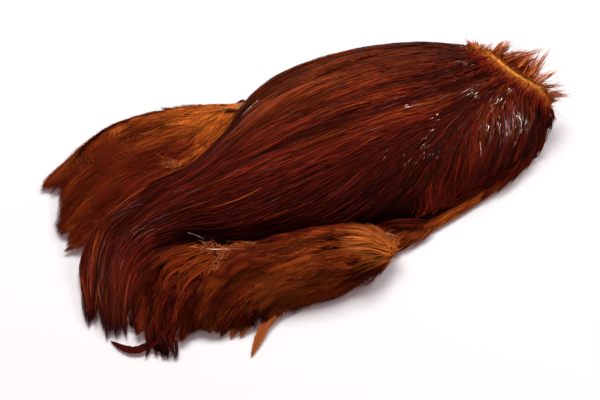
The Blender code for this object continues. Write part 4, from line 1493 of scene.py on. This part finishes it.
# %% Fan the tuft at the end of the near roll
TUFT_TIP = np.array((0.290, 0.064, 0.012))
TUFT_LOCKS = [
    ((10.1, -62.5, 13), (6.7, -51.9, 18), (-0.5, -39.7, 18)),
    ((9.3, -62.8, 13), (2.5, -52.3, 19), (-11.6, -40.6, 19.5)),
    ((8.5, -63, 13), (-2.2, -54.9, 20), (-17.6, -45.2, 21)),
    ((7.7, -64, 13), (-4.3, -59.2, 20), (-19.1, -52.1, 20)),
    ((7.4, -64.4, 12), (-5.3, -63.7, 18), (-18.4, -59.4, 17)),
    ((6.7, -65.3, 11), (-6.1, -68.2, 15), (-16.4, -65.2, 11)),
    ((6.8, -65, 10), (-3.1, -67.8, 11), (-10.6, -66.8, 6)),
    ((7.8, -64.7, 9), (1.3, -66.9, 8), (-3.4, -67.8, 4)),
    ((9.0, -63.0, 10), (6.0, -64.0, 7), (1.5, -64.2, 4)),
    ((11.0, -60.6, 11), (10.6, -62.3, 9), (8.5, -63.0, 6)),
    ((11, -60.7, 13), (9.9, -53, 16), (6.7, -43.8, 16)),
    ((11, -62.5, 12), (15, -61, 11.5), (17.5, -58.5, 10.5)),
]
TUFT_FAN = (1.0, 1.2, 1.1)
TUFT_WIDTH = 0.55
DUSKY_LOCKS = range(5, 9)
GAP_AFTER = 8
tuft_drawn = []
tuft_curves = np.array(TUFT_LOCKS)
for index, curve in enumerate(tuft_curves):
    # The four locks that hang lowest are darker and redder: partly their own browner tone, partly painted
    # shade on the low side of the fan.
    shades = (ORANGE, RUST * 1.6) if index in DUSKY_LOCKS else (ORANGE * 1.15, TUFT_TIP)
    tuft_drawn += curved_locks([curve], TUFT_WIDTH, 24, 1.1, shades, TUFT_FAN)
    if index + 1 < len(tuft_curves) and index != GAP_AFTER:
        steps = [curve * (1 - part) + tuft_curves[index + 1] * part for part in (0.25, 0.5, 0.75)]
        tuft_drawn += curved_locks(steps, TUFT_WIDTH, 13, 1.0, shades, TUFT_FAN)
roll_tuft = lay_feathers("roll_end_tuft", short_hackle, soft_vane, tuft_drawn, 36)

# %% [markdown]
# ## Loose feathers
# Some single feathers lie free of the rest: the curled sickle at the tail, and the strays below the roll. A
# broad vane in one piece stands for each of them.

# %% Lay the single loose feathers
LOOSE_FEATHERS = [
    ([(-104, -33, 7), (-110.8, -34.2, 5), (-117.8, -33.8, 3), (-125.3, -31.5, 2), (-129.2, -26, 1.5),
      (-131.5, -18.6, 1.2)], 3.3, 0.2, DEEP, BLACKISH * 1.3),
    ([(-44.7, -52.6, 4.5), (-52.4, -53.8, 5), (-62.4, -56.4, 4), (-71.2, -61.6, 2.4), (-82.2, -69.1, 1.2)],
     3.1, 0.1, STRAY_BROWN * 0.75, STRAY_BROWN * 0.85),
    ([(-48.1, -53.9, 3.5), (-58.1, -57.3, 4), (-67.8, -60.4, 2.6), (-74.5, -64.4, 1.4)], 1.8, -0.2, RUST,
     STRAY_BROWN * 0.7),
    ([(-59.4, -47.3, 7), (-69.8, -51.3, 4.5), (-79.5, -56.1, 1.6)], 3.4, 0.1, RUST, STRAY_BROWN * 0.6),
    ([(-64.7, -44.4, 8), (-73.6, -49, 5), (-83.8, -53.7, 1.6)], 3.4, -0.1, RUST, STRAY_BROWN * 0.55),
    ([(-70.1, -41.6, 7), (-78.3, -46, 4), (-87.4, -50.2, 1.6)], 3.2, 0.1, RUST, STRAY_BROWN * 0.5),
]
loose_feathers = lay_feathers("loose_feathers", broad_vane, soft_vane, LOOSE_FEATHERS, 35, rounding=0.25)

# %% [markdown]
# ## Tufts of the far flap
# Two small tufts stand out from the far flap's edge, and a pale wisp lies where the flap leaves the neck.

# %% Lift the tufts of the far flap
FAR_TUFTS = [
    ((-18, 86, 8.5), (-21.5, 92.5, 6.5), (-23.8, 98.8, 5)),
    ((-34, 91, 8.5), (-38, 97.5, 6), (-41, 103, 4)),
]
PALE_WISP = ((11, 67, 11), (6, 69.5, 11.5), (0, 72.5, 10.5))
far_tuft_drawn = curved_locks(FAR_TUFTS, width=0.4, count=12, spread=1.2, colours=(WARM, WARM))
far_tuft_drawn += curved_locks([PALE_WISP], width=0.3, count=40, spread=1.4,
                               colours=(STRAW * 0.7, ORANGE * 1.1))
far_tufts = lay_feathers("far_side_tufts", short_hackle, soft_vane, far_tuft_drawn, 44)

# %% [markdown]
# ## Stray hair
# The finest hair strays from everything else. It makes the outline of the crest and of the tuft soft. The
# limits keep it inside the size of the cape.

# %% Let fine hair stray from the crest and the tuft
LOWEST_HAIR = 0.8
HIGHEST_HAIR = 31.6
FARTHEST_HAIR = 166.0


def stray_hair(root, way, count, scatter, stray, reach, colours):
    """Very fine curling hairs from about one root, straying from one way."""
    drawn = []
    long = np.linalg.norm(way)
    for _ in range(count):
        start = root + chance.normal(0, scatter, 3)
        end = start + (way + chance.normal(0, stray, 3) * (long, long, 0.4 * long)) * chance.uniform(*reach)
        middle = (start + end) / 2 + chance.normal(0, 0.10 * long, 3) * (1, 1, 0.5)
        curve = np.array([start, middle, end])
        curve[:, 0] = np.minimum(curve[:, 0], FARTHEST_HAIR)
        curve[:, 2] = np.clip(curve[:, 2], LOWEST_HAIR, HIGHEST_HAIR)
        drawn.append(one_feather(curve, 1.0, (0.08, 0.16), 0, colours, vary=0.35))
    return drawn


crest_fuzz_drawn = []
for root, tip in CREST_SPIKES:
    crest_fuzz_drawn += stray_hair(root, np.subtract(tip, root), 14, 1.2, 0.22, (0.5, 1.05),
                                   (ORANGE * 0.5, CREST_RED * 0.7))
crest_fuzz = lay_feathers("crest_stray_hair", strand, soft_vane, crest_fuzz_drawn, 45)
TUFT_END = (9.5, -62.8, 11.5)
TUFT_WAYS = 24
tuft_fuzz_drawn = []
for turn in np.linspace(0, 2 * math.pi, TUFT_WAYS, endpoint=False):
    way = np.array([5.0 * math.cos(turn), 4.2 * math.sin(turn), 0.6])
    tuft_fuzz_drawn += stray_hair(TUFT_END, way, 10, 1.6, 0.30, (0.5, 1.2), (ORANGE * 1.1, ORANGE * 0.5))
tuft_fuzz = lay_feathers("roll_end_stray_hair", strand, soft_vane, tuft_fuzz_drawn, 46)

# %% [markdown]
# ## Bare shafts and painted glints
# Here and there a bare shaft catches the light. Short glints and longer lines of sheen grow only round
# drawn spots, where the dome faces the lamp: they are painted highlights and painted sheen, pale and lilac
# strands that stand for the lamp's reflection, partly on the pale shafts themselves.

# %% Paint the glints and sheen on bare shafts
GLINT_SPOTS = [
    (119, 5, 1.6, 7), (116, 10, 1.5, 3), (106, 1, 1.6, 4), (104, -17, 1.4, 7), (104, -20, 1.4, 6),
    (112, -28, 1.4, 8), (123, -26, 1.6, 4), (75, -5, 2.0, 6), (77, -21, 2.0, 3), (61, -29, 2.4, 6),
    (67, -26, 1.6, 3), (39, -22, 1.6, 2), (49, -33, 2.6, 5), (65, -34, 2.0, 3), (100, -41, 3.0, 8),
    (107, -40, 3.0, 12), (113, -40, 3.0, 16), (117, -42, 2.6, 12), (108, -46, 3.0, 6),
]
# Painted highlights: white, straw and lilac on short strands where a shaft would mirror the lamp.
GLINT_RULES = {
    **HACKLE_RULES, "spots": GLINT_SPOTS, "length": 3.4, "shortest": 2, "width": 0.085, "rise": (0.9, 1.6),
    "deep": 0.2, "root part": 0.2, "vary": 0.5, "palette": [(PAINTED_SHEEN_LILAC, 0.4), (STRAW, 0.3), (QUILL_AND_GLINT_WHITE, 0.3)],
    "root colour": STRAW, "light spots": [], "dark spots": [], "curl": 0.5, "loose": 0.2,
    "fade": [(0, 1), (1, 1)], "lock shade": 0.0, "lock length": 0.0, "gather": 0.0,
}
SHEEN_SPOTS = [
    (117, -40, 4.0, 36), (113, -38, 5.0, 40), (105, -45, 4.0, 24), (98, -38, 6.0, 34), (105, -15, 6.0, 12),
    (-112, 23, 8.0, 26), (-100, 31, 8.0, 24), (-61, 25, 9.0, 30), (-69, 26, 8.0, 20),
    (53, -2, 20.0, 24), (0, 0, 20.0, 20),
]
# Painted sheen: lilac strands where the dark hackles would mirror the lamp.
SHEEN_RULES = {
    **GLINT_RULES, "spots": SHEEN_SPOTS, "length": [(0, 9), (0.3, 18), (1, 22)], "width": 0.13,
    "palette": [(PAINTED_SHEEN_LILAC * 0.3, 0.6), (PAINTED_SHEEN_LILAC * 0.8, 0.4)], "root colour": MAHOGANY, "rise": (0.5, 1.2),
    "curl": 0.2, "fade": [(0, 0.6), (0.5, 1), (1, 0.6)],
}
painted_sheen_strands = grow_coat("painted_sheen_strands", hackle_sheet, strand, glossy_hackle, 0, 142, SHEEN_RULES)
glints = grow_coat("shafts_with_painted_glints", hackle_sheet, strand, shiny_quill, 0, 141, GLINT_RULES)

# %% [markdown]
# ## Bare quills
# Some quills have lost their vanes: two at the end of the roll, three at the shoulder, and two where the
# far flap leaves the neck.

# %% Lay the bare quills
# The quills are pale of their own, and their brightest white is partly a painted glint.
QUILLS = [
    ([(14.7, -49, 9), (17.9, -53.1, 9), (21.3, -58, 8)], 0.07, 0.2, QUILL_AND_GLINT_WHITE, STRAW),
    ([(14.5, -51.7, 8.5), (17.2, -55.7, 8), (18.9, -59.4, 7)], 0.06, 0.2, STRAW, QUILL_AND_GLINT_WHITE),
    ([(-67.4, 6, 15), (-65, 1, 15.6), (-63, -4.7, 15.5)], 0.035, 0.2, STRAW * 0.5, STRAW),
    ([(-67, -9.8, 16.6), (-59, -17, 17.6), (-50, -23.4, 17.9)], 0.08, 0.1, STRAW * 0.8, TAN),
    ([(-65, -12, 16.8), (-61.5, -15, 17.4), (-58, -18, 17.7)], 0.12, 0.1, QUILL_AND_GLINT_WHITE, STRAW),
    ([(17.2, 60.7, 16), (10, 58.8, 16), (3, 56.9, 15.2)], 0.09, 0.1, STRAW, RUST),
    ([(11.5, 59, 16.2), (7, 58, 15.9), (3, 57, 15.4)], 0.09, 0.1, QUILL_AND_GLINT_WHITE, STRAW * 0.5),
]
quills = lay_feathers("bare_quills", strand, shiny_quill, QUILLS, 37)

# %% [markdown]
# ## The skin
# The dried hide shows at the parting, in the gaps and underneath. The solid already has its shape, so it only
# needs the finish of old hide: mottled yellow, with pores where the feathers grew.

# %% Finish the skin
def hide_material():
    material, nodes, links, shader = new_material("dried hide")
    place = nodes.new("ShaderNodeTexCoord").outputs["Object"]
    pores = nodes.new("ShaderNodeTexVoronoi")
    pores.inputs["Scale"].default_value = 420.0
    links.new(place, pores.inputs["Vector"])
    _, shade = mottled(nodes, links, place, 45.0, 6.0, (0.40, 0.24, 0.10), (0.78, 0.62, 0.40))
    links.new(shade, shader.inputs["Base Color"])
    add_relief(nodes, links, shader, pores.outputs["Distance"], 0.5)
    shader.inputs["Roughness"].default_value = 0.55
    return material


hide = hide_material()
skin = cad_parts["skin"]
skin.data.materials.clear()
skin.data.materials.append(hide)
print("skin finished with", hide.name)

# %% [markdown]
# ## Hand the pieces to the frame
# Every piece rides on the one body and stands for the solid that it covers.

# %% Ride and replace
GROUPS = [
    ("neck_hackles", "glossy_hackle",
     [hackle_bed, *hackles, hackle_strands, crown_hackles, rim_hackles, rim_locks, parting_hackles,
      painted_sheen_strands, glints]),
    ("crest_feathers", "crest_feather",
     [crest_bed, crest_feathers, crest_hair, crest_fuzz, front_bed, front_feathers, parting_hair]),
    ("edge_feathers", "pale_under_feather",
     [edge_bed, edge_feathers, notch_feathers]),
    ("far_side_feathers", "side_feather",
     [far_bed, far_feathers, far_strands, far_fringe, far_tufts, junction_feathers]),
    ("near_side_feathers", "rolled_feather",
     [near_bed, near_feathers, near_strands, crease_feathers, roll_tuft, tuft_fuzz, loose_feathers]),
    ("shoulder_whorl", "shoulder_feather",
     [whorl_bed, whorl_feathers, whorl_strands, shoulder_tufts, tail_locks, down, quills]),
]
for node, slot, pieces in GROUPS:
    for piece in pieces:
        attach(piece, "root")
        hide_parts(node)
print("pieces:", sum(len(pieces) for _, _, pieces in GROUPS))

# %% [markdown]
# ## Stage, light and camera
# The cape lies on a plain white table, so bright that it burns out, under soft light from above and behind.

# %% Lay the floor
def floor_material():
    material, _, _, shader = new_material("white table")
    shader.inputs["Base Color"].default_value = (0.545, 0.545, 0.545, 1.0)
    shader.inputs["Roughness"].default_value = 0.9
    # The table also glows a little, which keeps it burnt out; the glow's pink tint is a painted bounce light
    # from the red feathers, seen in the table's shadows.
    shader.inputs["Emission Color"].default_value = (1.0, 0.60, 0.63, 1.0)
    shader.inputs["Emission Strength"].default_value = 0.14
    return material


nothing_selected()
bpy.ops.mesh.primitive_plane_add(size=8, location=(0, 0, 0))
floor = bpy.context.object
floor.name = "floor"
floor.data.materials.append(floor_material())
print("floor laid:", floor.name)

# %% [markdown]
# ## Light
# A large soft lamp above and behind the cape makes the shadows soft, and a small one from the head end adds
# glints of its own beside the painted ones. A dim white world fills in the rest.

# %% Set the lights
def area_light(name, place, size, power):
    """A square lamp that points at the cape."""
    light = bpy.data.lights.new(name, "AREA")
    light.shape = "SQUARE"
    light.size = size
    light.energy = power
    lamp = bpy.data.objects.new(name, light)
    lamp.location = place
    lamp.rotation_euler = (-lamp.location).to_track_quat("-Z", "Y").to_euler()
    bpy.context.scene.collection.objects.link(lamp)
    return lamp


world = bpy.data.worlds.new("studio")
bpy.context.scene.world = world
world.use_nodes = True
world.node_tree.nodes["Background"].inputs["Color"].default_value = (1, 1, 1, 1)
world.node_tree.nodes["Background"].inputs["Strength"].default_value = 0.25
area_light("softbox above", place=(0.5, 0.9, 2.2), size=1.6, power=88)
area_light("softbox right", place=(0.9, -0.1, 0.8), size=0.3, power=6)
bpy.context.scene.view_settings.view_transform = "Standard"
bpy.context.scene.view_settings.look = "None"
print("lights set: softbox above, softbox right")

# %% [markdown]
# ## Camera
# The camera stands where the photo was taken from, 0.95 m away and about 48 degrees above the table. Its
# focal length is known in pixels, so the lens follows from the sensor's width.

# %% Set the camera
VIEW_FROM = (-0.4027, -0.5344, 0.7431)
DISTANCE = 0.950
FOCAL_PIXELS = 1792.45
FRAME_PIXELS = 600
SENSOR = 36.0

target = np.array([-CENTRE[0], -CENTRE[1], 0]) * MM
camera_data = bpy.data.cameras.new("camera")
camera_data.sensor_width = SENSOR
camera_data.lens = FOCAL_PIXELS * SENSOR / FRAME_PIXELS
camera = bpy.data.objects.new("camera", camera_data)
camera.location = target + np.array(VIEW_FROM) * DISTANCE
facing = camera.location - Vector(target)
camera.rotation_euler = facing.to_track_quat("Z", "Y").to_euler()
bpy.context.scene.collection.objects.link(camera)
bpy.context.scene.camera = camera
print("lens:", round(camera_data.lens, 1), "mm")
